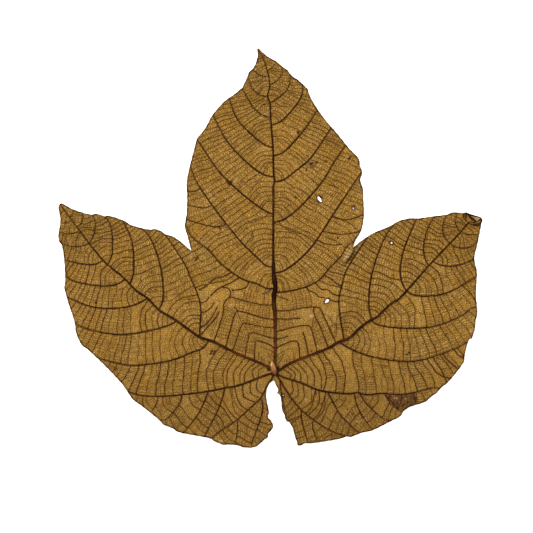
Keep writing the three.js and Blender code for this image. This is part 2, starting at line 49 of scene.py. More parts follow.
# Margin in its natural stretches, clockwise from the gap where the stalk stood.
# Millimetres in the leaf's own frame: (0, 0) is where the stalk met the blade, +y runs up the midrib.
marginStretches = {
    "leftTornEdge": [
        [-1, -4.2], [-3.9, -7.2], [-5.3, -13], [-3.6, -24], [-4.2, -25.2], [-3.6, -27.3], [-2.4, -27.9],
    ],
    "leftBasalLobe": [
        [-2.4, -27.9], [-1, -32], [-4, -36.2], [-4.3, -38.2], [-6.4, -39.7], [-11.8, -43.9], [-19, -44.1],
        [-22, -43.1], [-27.5, -42.6], [-30.8, -42.8], [-37.2, -40.4],
    ],
    "leftBase": [
        [-37.2, -40.4], [-37.9, -39.5], [-58.4, -35], [-61.2, -33.1], [-66.8, -30.8], [-69.5, -28],
        [-80, -19.5], [-85, -15.9], [-92.2, -5.8], [-112.6, 14.6], [-115.4, 16.5], [-119.1, 24],
        [-120, 30], [-124.2, 43], [-126.5, 51.6],
    ],
    "leftLobeOuter": [
        [-126.5, 51.6], [-125.9, 53.6], [-127.5, 76.3], [-129.1, 79], [-129.5, 82], [-128.1, 91.2],
        [-129.1, 99.3], [-128.5, 101.2],
    ],
    "leftLobeInner": [
        [-128.5, 101.2], [-127.4, 101.6], [-120.5, 98.1], [-109.5, 95], [-107.4, 95.4], [-104.8, 95.1],
        [-102, 94], [-100.2, 94.4], [-89.8, 91.1], [-87, 89.2], [-75.3, 86.1], [-71.9, 86.4],
        [-68.2, 85.1], [-65.4, 83.2], [-62, 82.3], [-57.5, 79.6], [-50.2, 73.3],
    ],
    "middleLobeLeft": [
        [-50.2, 73.3], [-52.8, 83], [-54.1, 87.6], [-53, 96], [-52.7, 106.5], [-52.9, 114.5],
        [-46.9, 140.4],
    ],
    "middleLobeShoulder": [
        [-46.9, 140.4], [-41.6, 147.2], [-38, 154], [-30.4, 162.8], [-24, 167.3], [-19.6, 170.9],
    ],
    "middleLobeTipLeft": [
        [-19.6, 170.9], [-16.6, 177.2], [-15.7, 179.7], [-12.6, 183], [-10.4, 189.8], [-10.8, 193.6],
    ],
    "middleLobeTipRight": [
        [-10.8, 193.6], [-10.1, 194.1], [-6.6, 191], [-3.2, 188.5], [0.2, 186.7], [5.3, 182.7],
        [7.5, 181.2], [10.2, 177.9], [13.8, 175.5], [19.5, 170.4],
    ],
    "middleLobeRight": [
        [19.5, 170.4], [21.2, 165.4], [29.2, 153], [37.5, 143.3], [44.6, 134.5], [50.2, 128.4], [51, 124],
        [52.3, 120.2], [51.1, 115.7], [52.6, 111], [53, 104], [53.3, 94.4], [51.6, 85.4], [47.6, 78.4],
        [46.8, 75],
    ],
    "rightLobeInner": [
        [46.8, 75], [49.8, 77.8], [58, 83.5], [68.7, 88.1], [74.4, 91.3], [81.9, 92.9], [84.8, 92.7],
        [94.5, 94], [103, 95.1], [106, 96.3], [112.3, 95.9], [114, 96.3],
    ],
    "rightLobeTip": [
        [114, 96.3], [117.5, 94.6], [122.6, 93], [123.6, 91.4], [123.2, 89.6],
    ],
    "rightLobeOuter": [
        [123.2, 89.6], [120.5, 75.2], [119.4, 70.5], [119.5, 66.8], [120.9, 61], [120.4, 46.3],
        [121.2, 36], [120.2, 31.5], [119.7, 26.5], [117.9, 20.7],
    ],
    "rightNick": [
        [117.9, 20.7], [116.4, 20.2], [113.6, 10], [113.4, 7.2], [103.4, -5.9], [100, -8.5], [97, -11.8],
        [93.3, -14.4], [90.5, -16.9], [80, -20.6], [76.8, -23], [75.2, -25.6], [68.8, -29], [57.5, -34.6],
        [52.6, -35.6], [45, -38.3], [42.8, -38], [40, -39.1], [22, -41.9], [17.2, -41.9],
    ],
    "rightBasalCorner": [
        [17.2, -41.9], [16, -43.1], [13.6, -43], [13, -40.9], [11.9, -38], [10, -31.7], [7.5, -28.9],
        [6, -30.1],
    ],
    "rightTornEdge": [
        [6, -30.1], [6.8, -28.4], [5.9, -26.9], [5.5, -24.8], [4.3, -22.5], [3.2, -14.2], [1.9, -12.2],
        [0.9, -12.3], [1.8, -10.6], [1.6, -9], [0.4, -7.2], [0, -5.4], [-1, -4.2],
    ],
}

primaryVeins = {  # from the stalk outwards
    "midrib": [
        [0, 0], [0, 32], [-0.6, 47], [0.2, 50.5], [-0.8, 60], [-1, 105], [-1, 112.5], [-0.2, 115],
        [-0.8, 119], [-1.1, 132], [-2.8, 156], [-3.1, 162], [-4.5, 165.8], [-3.2, 172.6], [-6.6, 187],
        [-10.2, 193.2],
    ],
    "leftPrimary": [
        [0, 0], [-4.8, 4], [-22, 11.4], [-38.5, 19.4], [-44.8, 21.4], [-59, 31.3], [-69.8, 38.1],
        [-76.6, 44.9], [-83.5, 49.6], [-89.9, 56.4], [-103.1, 67.7], [-128, 100.7],
    ],
    "rightPrimary": [
        [0, 0], [8.4, 5.6], [33, 15.6], [38.5, 18.9], [44.5, 21], [50.5, 26.7], [57.6, 31.9], [61, 33.6],
        [69, 41.2], [74, 44.4], [92, 64.2], [111.2, 84.9], [115.2, 89.8],
    ],
    "leftBasal": [
        [0, 0], [-3.7, -0.6], [-22.7, -7.6], [-30.2, -8.9], [-40, -10.9], [-69.8, -14], [-82, -13],
        [-87.6, -11.3],
    ],
    "rightBasal": [
        [0, 0], [5.4, -2.5], [16.3, -6], [26, -10.1], [44, -12.3], [49.5, -11.7], [54, -12.8], [65, -12.1],
        [71, -12.8], [80, -12.2], [95, -8.8], [98.5, -9.2],
    ],
    "leftLowest": [
        [0, 0], [-4.4, -7], [-8.6, -14.8], [-15.6, -21.4], [-22.7, -27.9], [-34.5, -36], [-38, -39.2],
    ],
    "rightLowest": [
        [0, 0], [2.7, -3.6], [6.5, -10.1], [16.3, -22.5], [34, -34.8], [43, -38],
    ],
}

secondaryVeins = {  # of each primary, from its base to its tip
    "midribLeft": [
        [
            [-0.4, 50.7], [-5, 50.8], [-10.6, 53.4], [-20, 56.6], [-33.3, 66.4], [-39, 73], [-50, 82],
            [-52.8, 87.6],
        ],
        [[-0.8, 63.4], [-5, 64.2], [-11, 69.5], [-21.7, 80.2], [-46.5, 113.8], [-51, 124.5]],
        [[-1.2, 95.5], [-6, 97.2], [-31.2, 118.2], [-46.8, 140]],
        [[-0.9, 117.8], [-5, 118.4], [-12, 122.2], [-28, 138], [-37.4, 155]],
        [[-1.3, 135.2], [-6, 136.9], [-19, 147.8], [-23.8, 154.6], [-27.6, 165]],
        [[-2.6, 153.2], [-7, 154.4], [-12, 158], [-20, 170.6]],
        [[-4.5, 165.7], [-9.4, 166.7], [-14, 171], [-16.4, 177.5]],
        [[-4.3, 177.5], [-9.5, 178.2], [-13.6, 182]],
    ],
    "midribRight": [
        [
            [0.3, 48.4], [6, 48.8], [20, 52.3], [27, 56.4], [31.4, 61.7], [39.5, 70.3], [43.3, 76.4],
            [47.8, 79],
        ],
        [[-0.8, 60], [5, 61.3], [19.6, 73], [37.9, 99.8], [51.9, 120.5]],
        [[-1.2, 90.2], [5, 92], [13.5, 98.2], [28.9, 115.6], [34.5, 125], [42.5, 137]],
        [[-0.2, 114.8], [4.5, 115.6], [13.8, 122.4], [20.5, 128], [34, 147.4]],
        [[-1, 130.2], [4.6, 132.2], [18, 146.7], [25.6, 158.2]],
        [[-2, 148.7], [3.9, 151.2], [15.6, 165.4], [16.8, 172.8]],
        [[-3.1, 161.8], [2.5, 165.3], [7.6, 170.6], [9.3, 178.6]],
        [[-3.2, 172.6], [1, 175], [4, 178.8], [4.9, 183]],
        [[-4.5, 181], [-1, 183.4], [0.4, 186.4]],
    ],
    "leftPrimaryInner": [
        [[-45.2, 21.8], [-45, 42], [-51.6, 59.4], [-53.4, 64.2], [-65.6, 83.1]],
        [[-69.6, 38.1], [-67.3, 43.6], [-68.4, 62.5], [-75, 81.6], [-79.4, 86.5]],
        [[-87, 53.4], [-85, 59.4], [-85.8, 79], [-90.8, 91.2]],
        [[-100.2, 65.2], [-97.7, 71.2], [-98.4, 88], [-101.5, 94]],
        [[-111.3, 77.6], [-108.4, 83.6], [-107.6, 89.6], [-108.8, 95]],
        [[-118.5, 87.1], [-115.5, 90.4], [-114.6, 96.2]],
        [[-123, 93.5], [-120.6, 95.6], [-120.3, 98]],
    ],
    "leftPrimaryOuter": [
        [[-39.6, 19.6], [-43, 15.2], [-50, 12.3], [-62.2, 7.7], [-86.6, 4.7], [-107, 9.2]],
        [[-59, 31.3], [-63.8, 28.6], [-92, 23.1], [-112, 26.3], [-120, 29.6]],
        [[-76.6, 44.9], [-81.2, 42.1], [-90, 39.5], [-108, 39.4], [-124.9, 45.6]],
        [[-89.9, 56.4], [-94, 53.6], [-102.9, 52.2], [-121, 55.4], [-125.7, 58.6]],
        [[-103.1, 67.7], [-107, 65.4], [-114.9, 65.4], [-126, 67.8]],
        [[-111.5, 77.7], [-116, 76.1], [-122, 76], [-127.8, 77.6]],
        [[-117, 84.9], [-122.5, 83.5], [-128.9, 84.4]],
        [[-121.6, 91.4], [-125, 90], [-128.2, 89.8]],
    ],
    "rightPrimaryInner": [
        [[41.2, 19.9], [38.2, 43.5], [40, 52.2], [42.5, 61], [55.6, 82]],
        [[58, 32.2], [56.4, 38], [57.5, 57], [66.4, 82.6], [71.8, 90]],
        [[78.6, 49.3], [75.8, 55], [75, 62], [77, 73.4], [84.8, 92.8]],
        [[92, 64.2], [89.6, 69.6], [89.2, 77], [91.5, 86.6], [95.4, 94]],
        [[104.6, 77.5], [101, 82.4], [100.5, 89], [102.4, 94.8]],
        [[110.8, 84.5], [109, 87.2], [107.7, 90], [107.7, 92.6], [109, 95.4]],
    ],
    "rightPrimaryOuter": [
        [[38.3, 18.7], [44, 15.2], [55.8, 10.4], [78, 6.9], [88.5, 8], [110, 15.6], [114.9, 18.6]],
        [[57.4, 31.8], [61, 29.3], [71, 27.3], [94.9, 28], [113, 35.2], [117.4, 38.8], [121.2, 39.8]],
        [[78.7, 49.2], [84, 46.6], [101.4, 47.6], [121, 57.8]],
        [[94.6, 67], [98, 65.1], [104.5, 64.1], [112.3, 65.4], [119.5, 68.6]],
        [[104.8, 77.6], [109, 75.3], [115.8, 75.3], [119, 76.8], [121, 79.4]],
        [[111.1, 84.8], [115, 83], [122, 83]],
    ],
    "leftBasalBelow": [
        [[-30.2, -8.9], [-31.2, -14], [-35.7, -25.2], [-42.6, -38.3]],
        [[-39.8, -10.8], [-46, -24.4], [-55.5, -36.2]],
        [[-55.8, -13.1], [-56.8, -17.4], [-65.4, -27.6], [-69.2, -28.2]],
        [[-70, -14], [-71, -18.4], [-74.6, -24]],
    ],
    "rightBasalBelow": [
        [[31.3, -11], [39.6, -25.4], [50.6, -36.4]],
        [[47.6, -12], [48.4, -17], [52, -25.2], [58.6, -34.2]],
        [[50.5, -12], [55.3, -18.7], [66, -27.8], [70, -28.6]],
        [[65.6, -12.2], [69, -17.8], [75.8, -23.4]],
    ],
    "leftLowestBelow": [
        [[-8.6, -14.8], [-7.5, -18], [-7.8, -24], [-14.2, -42.6]],
        [[-22.7, -27.9], [-22.3, -33], [-23.9, -42]],
    ],
    "rightLowestBelow": [
        [[2.7, -3.6], [4, -13.4], [7.1, -28.6]],
        [[15.7, -22], [16, -28], [19.5, -41]],
        [[23, -27.8], [22.4, -32], [25.8, -41.2]],
        [[34, -34.8], [34.2, -39.8]],
    ],
}

leftChevrons = [  # cross veins nested between the midrib and the left great vein, the widest first
    [
        [-0.6, 41], [-6, 40.8], [-12, 41.8], [-18.6, 43.3], [-23.4, 44.8], [-27.1, 45.4], [-28.8, 44.3],
        [-30.4, 42.2], [-31, 36.7], [-33.2, 28.9], [-36.5, 19],
    ],
    [
        [0, 32.1], [-6.8, 33], [-13.7, 35], [-18.5, 36.5], [-22.7, 37], [-23.7, 35.8], [-25.4, 31.3],
        [-26.9, 25.4], [-29.6, 16],
    ],
    [
        [0, 27], [-4.8, 27.4], [-10.7, 28.4], [-15.6, 29.3], [-19, 29.6], [-20.3, 27.9], [-22, 23.5],
        [-23.5, 18.6], [-25.4, 13.6],
    ],
    [
        [0, 20.8], [-3.8, 21.5], [-6.8, 22.5], [-10.7, 23.7], [-13.7, 24.2], [-15.6, 23.2], [-16.1, 20.5],
        [-17, 16.6], [-18, 10.6],
    ],
    [[-0.6, 15.1], [-3.4, 17.1], [-6.8, 18.4], [-9.7, 19.1], [-11.5, 19.4], [-11.9, 16.6], [-12.4, 8.4]],
]
rightChevrons = {
    "widest": [[0.1, 37.3], [6, 37.4], [26.4, 39.2], [29, 34.8], [36.6, 17.6]],
    "short": [[0, 32.6], [7, 32.3], [14.8, 32.8]],
    "leg": [[23.2, 39.2], [23.4, 35.6], [27, 28], [31.9, 15.3]],
    "inner": [[0.1, 24.8], [20.4, 28.2], [22.7, 22.9], [25.3, 12.6]],
}
crossVeins = [  # other strong cross veins that show one by one
    [[0.1, 20.2], [4.6, 21.1], [7.6, 22.3]],
    [[16.8, 24.4], [18.4, 19], [20, 10.5]],
    [[0.1, 14.5], [5, 17.3], [13, 19], [15, 8.2]],
    [[-29.6, 89.5], [-31.4, 88.2], [-38, 87.9], [-53, 92]],
    [[-37.6, 100.8], [-42, 99.1], [-52.9, 100.6]],
    [[-44.4, 110.8], [-48, 109], [-52.7, 109.2]],
    [[-26.2, 60.5], [-30, 58.2], [-36.4, 56.4], [-41, 52.4], [-45.6, 49.8]],
    [[-21.6, 57.2], [-26, 54.4], [-34, 50.6], [-38.6, 46.4]],
    [[34, 93.7], [39.6, 92.2], [45, 92.3], [53.2, 95]],
    [[28.4, 85], [40, 83.2], [51.4, 84.8]],
    [[25, 80], [29.6, 77.7], [36, 76.8], [40, 77.4]],
    [[91, 8.6], [97.6, -0.2], [103.6, -3], [105.6, -3]],
    [[100.6, 11.6], [103.6, 7.7], [109, 3]],
    [[107.2, 14.3], [110, 10.8], [113.4, 8.8]],
    [[-24.4, -8.2], [-23.5, -11.3], [-22.6, -14.9], [-20.5, -19.2], [-16.8, -21.9]],
    [[-19.4, -6.6], [-19.2, -11.3], [-18.6, -14.3], [-16.5, -15.6], [-12.4, -17.2]],
    [[-44.4, 27.6], [-42, 28.6], [-38.6, 32.6], [-36, 36.8], [-34.8, 39.2]],
    [[-44.4, 23], [-40.4, 27.6], [-35.6, 33.2], [-33.8, 36.2]],
    [[-44.7, 36.3], [-41.2, 37], [-38.4, 39.4], [-36.6, 42]],
    [[-45, 42.1], [-41.4, 43], [-39.4, 45.4]],
    [[-31.6, 51.6], [-28.6, 51], [-26.6, 48.6], [-27.2, 45.6]],
    [[-15.8, 54.6], [-17, 51.8], [-20.4, 50.2], [-25.8, 49.6]],
    [[-24.8, 39.6], [-23.4, 38.2], [-22.6, 37]],
    [[-7.6, 47.6], [-5, 48.4], [-2.4, 50]],
    [[19, 51.6], [20.4, 49.6], [24.4, 47.6], [26.6, 45.6], [29.6, 45.2]],
    [[39.8, 52.6], [37, 53.6], [34, 56.2], [29.6, 58.6]],
    [[38.2, 46.4], [34.6, 47.4], [31.8, 49.8], [28, 50.2], [24.2, 53.8]],
    [[38, 42.8], [34.6, 43.2], [32.6, 44.2]],
    [[0.4, 46.8], [3, 45.4], [5.6, 44.8], [8, 43.4]],
    [[115.2, 89.8], [118.4, 88.6], [120, 88], [121.8, 88.6]],
    [[115.2, 90], [113, 92.4], [112.4, 93.8], [112.8, 95.8]],
    [[115.4, 90.2], [117.4, 90.6], [119.4, 89.8]],
]

nearStalk = [  # fainter ones that nest in the axils round the stalk
    [[-0.9, 12.4], [-3, 13.8], [-6.1, 15], [-8.8, 15.8]],
    [[-0.9, 10], [-2.8, 11.2], [-5.3, 12.6]],
    [[-0.8, 7.6], [-2.2, 8.8], [-4.4, 10.7]],
    [[-9.8, 8.4], [-9.8, 10.4], [-9.5, 12.6]],
    [[-8.1, 7.6], [-8.1, 9], [-7.9, 10.4]],
    [[-6.6, 6.8], [-6.7, 7.8], [-6.6, 8.8]],
    [[1.2, 10.2], [4.8, 13.1], [8.3, 14.4]],
    [[1.2, 7.4], [2.9, 9.4], [5.2, 11.4]],
    [[1.4, 5.2], [2.9, 7.1], [4.4, 9.2]],
    [[11.4, 8.6], [11.4, 10.6], [10.7, 13]],
    [[9, 7.4], [8.9, 8.8], [8.6, 10.2]],
    [[6.8, 5.8], [6.9, 6.8], [6.9, 7.8]],
    [[-6.6, 3.6], [-8.8, 2.4], [-10.1, 0.6], [-9.8, -2.4]],
    [[-9.4, 4.9], [-11.7, 3.3], [-13.4, 1.8], [-13.9, 0.5], [-13.2, -1.4], [-12.6, -3]],
    [[-11.6, 6.4], [-14.7, 3.8], [-17.2, 1.4], [-18.2, -0.9], [-18.4, -5]],
    [[-15.2, 8.2], [-17.2, 5.4], [-19.7, 2.4], [-20.8, 0.2], [-21, -1.8], [-20.9, -6.4]],
    [[-18, 9.4], [-21, 5.4], [-24, 1.8], [-24.8, -0.2], [-24.7, -4.2], [-24.5, -7.4]],
    [[-22.2, 11.4], [-25.2, 6.4], [-27.6, 2.8], [-28.7, 0.4], [-28.9, -3], [-28.6, -8]],
    [[5.2, 2.4], [8.5, 0.1], [9.7, -0.9], [9.2, -2.6]],
    [[7.5, 3.8], [10.5, 1.4], [12.3, -0.2], [12.1, -1.9], [11.5, -3.9]],
    [[10.3, 4.8], [13.1, 2.1], [15, 0.5], [15.5, -1.9], [15.1, -5]],
    [[13.5, 6.1], [15.8, 3.4], [18.1, 0.8], [19.4, -1.9], [19.6, -6.2]],
    [[17.1, 7.7], [20.1, 4.4], [22.8, 0.8], [23.6, -1.9], [23.4, -7.4]],
    [[20.8, 9.4], [23.8, 4.6], [26.4, 1.2], [27.6, -2.2], [27.8, -9]],
    [[-14.8, -5.4], [-14.9, -10], [-14.7, -11.6], [-12.5, -13.4], [-9.8, -14.5]],
    [[-27.2, -9.2], [-26.3, -12.3], [-25.7, -16.5], [-24.6, -21.5], [-23.2, -24.2], [-20.4, -26.3]],
    [[-31.2, -16.4], [-28.8, -20.6], [-26.1, -24.5], [-23.1, -27.4]],
    [[-10.6, -4], [-11.2, -7.4], [-10.4, -10.4], [-7.8, -12.2]],
    [[10.1, -4.6], [10.4, -8], [11, -10.6], [9.6, -12.6]],
    [[13.1, -5.4], [13.8, -8.9], [14.1, -12.3], [13.3, -13.9], [11.4, -15]],
    [[16.9, -6.8], [17.2, -10.6], [17.6, -13.9], [16.6, -16.2], [13.8, -18.7]],
    [[21.9, -8.8], [22, -14.6], [21.6, -17.2], [19.6, -19.2], [16.2, -21.4]],
    [[26.4, -10.2], [26.4, -16.9], [25.5, -19.6], [21.2, -23.9], [20.3, -25]],
    [[30.6, -11], [29.8, -14.9], [29.9, -19.2], [28.5, -23.2], [25, -27.4]],
    [[9.9, -15.6], [8.6, -18], [6.6, -20.2]],
    [[12.2, -18.4], [10, -21], [7, -23.9]],
    [[14.2, -20.8], [11.6, -23.4], [7.6, -26.6]],
    [[16, -25.4], [13.4, -27.4], [10, -29.8]],
]

eatenHoles = [  # all the way through: the two of the frame, and three pin holes too small for it
    [[25.8, 106.3], [26.8, 105.3], [27.6, 104.3], [28, 102.6], [27.2, 102.6], [26.3, 103.7], [25.5, 104.5]],
    [[29.9, 41.9], [30.2, 43.2], [30.8, 44.2], [31.8, 44.4], [32.5, 43.6], [31.8, 42.7], [31, 42.2]],
    [[46.6, 99.1], [47.3, 99.2], [47.5, 98.6], [47, 98.2], [46.5, 98.5]],
    [[69.3, 78.4], [69.9, 78.7], [70.5, 78.1], [70.1, 77.4], [69.4, 77.6]],
    [[4.5, -13.1], [5, -13], [5.2, -13.6], [4.7, -13.8]],
]


# Curves, distances and unevenness
def lengthsAlong(line):
    return np.concatenate([[0], np.cumsum(np.linalg.norm(np.diff(line, axis=0), axis=1))])


def pointsAt(line, distances):
    along = lengthsAlong(line)
    return np.column_stack([np.interp(distances, along, line[:, axis]) for axis in (0, 1)])


def evenSteps(line, step):
    length = lengthsAlong(line)[-1]
    return pointsAt(line, np.linspace(0, length, max(1, round(length / step)) + 1))


def smoothLine(points, step):  # a centripetal Catmull-Rom curve cut into even steps
    knots = [np.array(point, float) for point in points]
    knots = [2 * knots[0] - knots[1]] + knots + [2 * knots[-1] - knots[-2]]
    pieces = [knots[1][None]]
    t = np.linspace(0, 1, 25)[1:, None]
    for a, b, c, d in zip(knots, knots[1:], knots[2:], knots[3:]):
        before, here, after = (max(1e-6, np.linalg.norm(gap)) ** 0.5 for gap in (b - a, c - b, d - c))
        leave = ((b - a) / before - (c - a) / (before + here) + (c - b) / here) * here
        arrive = ((c - b) / here - (d - b) / (here + after) + (d - c) / after) * here
        cubic = 2 * (b - c) + leave + arrive
        square = 3 * (c - b) - 2 * leave - arrive
        pieces.append(b + leave * t + square * t**2 + cubic * t**3)
    return evenSteps(np.concatenate(pieces), step)


def normalsOf(line):  # unit vectors to the left of the line's direction
    along = np.gradient(line, axis=0)
    along /= np.linalg.norm(along, axis=1, keepdims=True)
    return np.column_stack([-along[:, 1], along[:, 0]])


def treeOf(points):
    tree = kdtree.KDTree(len(points))
    for index, (x, y) in enumerate(points):
        tree.insert((x, y, 0), index)
    tree.balance()
    return tree


def gapsTo(tree, points):
    return np.array([tree.find((x, y, 0))[2] for x, y in points])


def easeIn(value):
    share = np.clip(value, 0, 1)
    return share * share * (3 - 2 * share)


def toStretch(points, start, end):  # share along a straight stretch, and distance from it
    start, end = np.array(start, float), np.array(end, float)
    run = end - start
    share = np.clip((points - start) @ run / (run @ run), 0, 1)
    return share, np.linalg.norm(start + share[:, None] * run - points, axis=1)


def unevenness(values, seed):  # smooth, repeatable and between about -1 and 1
    parts = [np.sin(values * rate + seed * (2.3 + rate)) for rate in (1.0, 2.37, 4.91)]
    return (parts[0] + 0.6 * parts[1] + 0.35 * parts[2]) / 1.6


# How the dry blade has lifted and puckered, as in the frame
blade = {
    "thickness": 0.32,  # millimetres, as all sizes here
    "grid": 1.05,  # spacing of the mesh's points between the veins
    "veinStep": 0.85,  # and along them
    "markGrid": 0.42,  # and inside the blemishes
    "marginStep": 0.55,
    "raggedness": 0.1,  # how far the margin strays from its smooth line
    "quiltDepth": 0.32,  # how far the tissue sinks between the bigger veins
    "rungQuiltDepth": 0.13,
    "swell": {"height": 2.2, "lengthX": 31, "lengthY": 37},
    "ripple": {"height": 0.7, "lengthX": 11, "lengthY": 14},
    "marginLift": {"height": 2.2, "reach": 13, "waveLength": 21},
    "lobeTips": [
        {"point": [-10.5, 193.8], "lift": 5.5, "reach": 46},
        {"point": [-128.3, 100.8], "lift": 6, "reach": 44},
        {"point": [123, 91], "lift": 5, "reach": 42},
        {"point": [-14, -44], "lift": 3.5, "reach": 26},
        {"point": [14.5, -42.5], "lift": 3, "reach": 24},
    ],
    "pleats": [
        {"from": [46.6, 74.6], "to": [40.6, 65.4], "height": 2.4, "halfWidth": 3.2},
        {"from": [-49.8, 72.6], "to": [-44.4, 62.2], "height": 2, "halfWidth": 3.4},
    ],
    "curledTip": {"from": [112.8, 98], "to": [124.6, 92.6], "reach": 4.6, "height": 2.6},
    "restingSpots": [
        {"centre": [-2, 53], "flatRadius": 9},
        {"centre": [-66, 22], "flatRadius": 7},
        {"centre": [64, 20], "flatRadius": 7},
        {"centre": [1, 128], "flatRadius": 7},
    ],
    "spotFade": 26,
}

marginLines = [smoothLine(points, blade["marginStep"])[:-1] for points in marginStretches.values()]
outline = np.concatenate(marginLines)
ragged = blade["raggedness"] * unevenness(np.arange(len(outline)) * 0.83, 4)
outline += normalsOf(outline) * ragged[:, None]
holeRings = [smoothLine(hole + hole[:1], 0.5)[:-1] for hole in eatenHoles]
frameMiddle = np.array([(low + high) / 2 / mm for low, high in zip(leafLow, leafHigh)][:2])
toFrame = frameMiddle - (outline.min(axis=0) + outline.max(axis=0)) / 2  # from the leaf's own frame
marginTree = treeOf(evenSteps(np.vstack([outline, outline[:1]]), 0.3))


def lowerFace(points):  # height of the lower face over the surface that the leaf lies on
    x, y = points.T
    swell, ripple, lift = blade["swell"], blade["ripple"], blade["marginLift"]
    broad = 1 + np.sin(x / swell["lengthX"] + 0.7) * np.cos(y / swell["lengthY"] - 0.5)
    fine = 1 + np.sin(x / ripple["lengthX"] + y / 29) * np.sin(y / ripple["lengthY"] - x / 41)
    height = swell["height"] * broad / 2 + ripple["height"] * fine / 2
    wave = 0.5 + 0.5 * np.sin((x + 1.7 * y) / lift["waveLength"])
    height += lift["height"] * wave * easeIn(1 - gapsTo(marginTree, points) / lift["reach"])
    for tip in blade["lobeTips"]:
        height += tip["lift"] * easeIn(1 - np.linalg.norm(points - tip["point"], axis=1) / tip["reach"])
    for pleat in blade["pleats"]:
        share, gap = toStretch(points, pleat["from"], pleat["to"])
        height += pleat["height"] * (1 - 0.6 * share) * easeIn(1 - gap / pleat["halfWidth"])
    curl = blade["curledTip"]
    height += curl["height"] * easeIn(1 - toStretch(points, curl["from"], curl["to"])[1] / curl["reach"])
    for spot in blade["restingSpots"]:
        gap = np.linalg.norm(points - spot["centre"], axis=1)
        height *= easeIn((gap - spot["flatRadius"]) / blade["spotFade"])
    return height


veinLines = [smoothLine(line, 0.3) for line in primaryVeins.values()]
veinLines += [smoothLine(line, 0.3) for group in secondaryVeins.values() for line in group]
veinTree = treeOf(np.concatenate(veinLines))


def quiltedFace(points):  # the lower face with the tissue sunk between the veins
    quilt = blade["quiltDepth"] * (1 - np.exp(-gapsTo(veinTree, points) / 3))
    return np.maximum(lowerFace(points) - quilt * easeIn(gapsTo(marginTree, points) / 3), 0)


def topOf(points):
    return quiltedFace(points) + blade["thickness"]


# Materials
eased = {"interpolation_type": "SMOOTHSTEP"}  # from one value to the other without a kink


def srgb(code):
    parts = [int(code[i : i + 2], 16) / 255 for i in (0, 2, 4)]
    return [part / 12.92 if part <= 0.04045 else ((part + 0.055) / 1.055) ** 2.4 for part in parts] + [1]


def add(tree, kind, inputs, output=0, **settings):  # a node with its settings, values and links
    node = tree.nodes.new("ShaderNode" + kind)
    for name, value in settings.items():
        setattr(node, name, value)
    for name, value in inputs.items() if isinstance(inputs, dict) else enumerate(inputs):
        if isinstance(value, bpy.types.NodeSocket):
            tree.links.new(value, node.inputs[name])
        else:
            node.inputs[name].default_value = value
    return node.outputs[output]


def newMaterial(name, roughness, gloss):
    material = bpy.data.materials.new(name)
    material.use_nodes = True
    tree = material.node_tree
    shader = tree.nodes["Principled BSDF"]
    shader.inputs["Roughness"].default_value = roughness
    shader.inputs["Specular IOR Level"].default_value = gloss
    place = add(tree, "TexCoord", {}, "Object")
    place = add(tree, "VectorMath", {0: place, "Scale": 1 / mm}, operation="SCALE")
    return material, tree, shader, place  # place is in millimetres


def marksOn(tree, names):  # numbers kept on each of the mesh's points
    return {name: add(tree, "Attribute", {}, "Fac", attribute_name=name) for name in names}


def blotches(tree, place, size, detail, low, high, least=0, most=1):  # size in millimetres
    noise = add(tree, "TexNoise", {"Vector": place, "Scale": 1 / size, "Detail": detail})
    return add(tree, "MapRange", [noise, low, high, least, most], **eased)


def netOf(tree, place, cell, warp):  # distance to the nearest fine vein, as a share of a mesh of the net
    bend = add(tree, "TexNoise", {"Vector": place, "Scale": 1 / (cell * 1.4), "Detail": 1}, "Color")
    bend = add(tree, "VectorMath", {0: bend, "Scale": warp}, operation="SCALE")
    bent = add(tree, "VectorMath", [place, bend], operation="ADD")
    inputs = {"Vector": bent, "Scale": 1 / cell, "Randomness": 0.85}
    settings = {"feature": "DISTANCE_TO_EDGE", "voronoi_dimensions": "2D"}
    return add(tree, "TexVoronoi", inputs, "Distance", **settings)


def paint(tree, shader, ground, layers):  # each layer: where it lies, how strongly there, and its colour
    colour = srgb(ground)
    for share, strength, code in layers:
        share = add(tree, "Math", [share, strength], operation="MULTIPLY")
        colour = add(tree, "Mix", {0: share, 6: colour, 7: srgb(code)}, 2, data_type="RGBA")
    tree.links.new(colour, shader.inputs["Base Color"])


def carve(tree, shader, relief, strength, depth):  # fine relief, its depth in millimetres
    bump = add(tree, "Bump", {"Height": relief, "Strength": strength, "Distance": depth * mm})
    tree.links.new(bump, shader.inputs["Normal"])


tissue = {
    "light": "bd934a",
    "middle": "b88a3b",
    "dark": "78561f",
    "olive": "907229",
    "netBrown": "4c3112",
    "halo": "4a2a0c",
    "rungHalo": "55300f",
    "rust": "a65f38",
    "rim": "2a1506",
    "stainAndShadow": "2a1308",
    "necrosis": "57391f",
    "pale": "c9aa78",
    "lowLobes": "6f5020",  # the two lobes beside the stalk are a little darker
    "lowShade": 0.46,
    "lowReach": [-40, 45],  # from where it is full, up the midrib, to where it has gone
    "patchSize": 16,  # tone changes over this many millimetres
    "mottleSize": 2.2,
    "grainSize": 0.55,
    "rimPatchSize": 3.1,
    "netCell": 1.3,  # the finest meshes of veins; the real ones, near 0.5, would not show
    "netShade": 0.68,
    "grainShade": 0.72,
    "rungShade": 0.7,
    "veinShade": 0.8,
    "reliefDepth": 0.12,
    "roughness": 0.78,
    "gloss": 0.06,
}


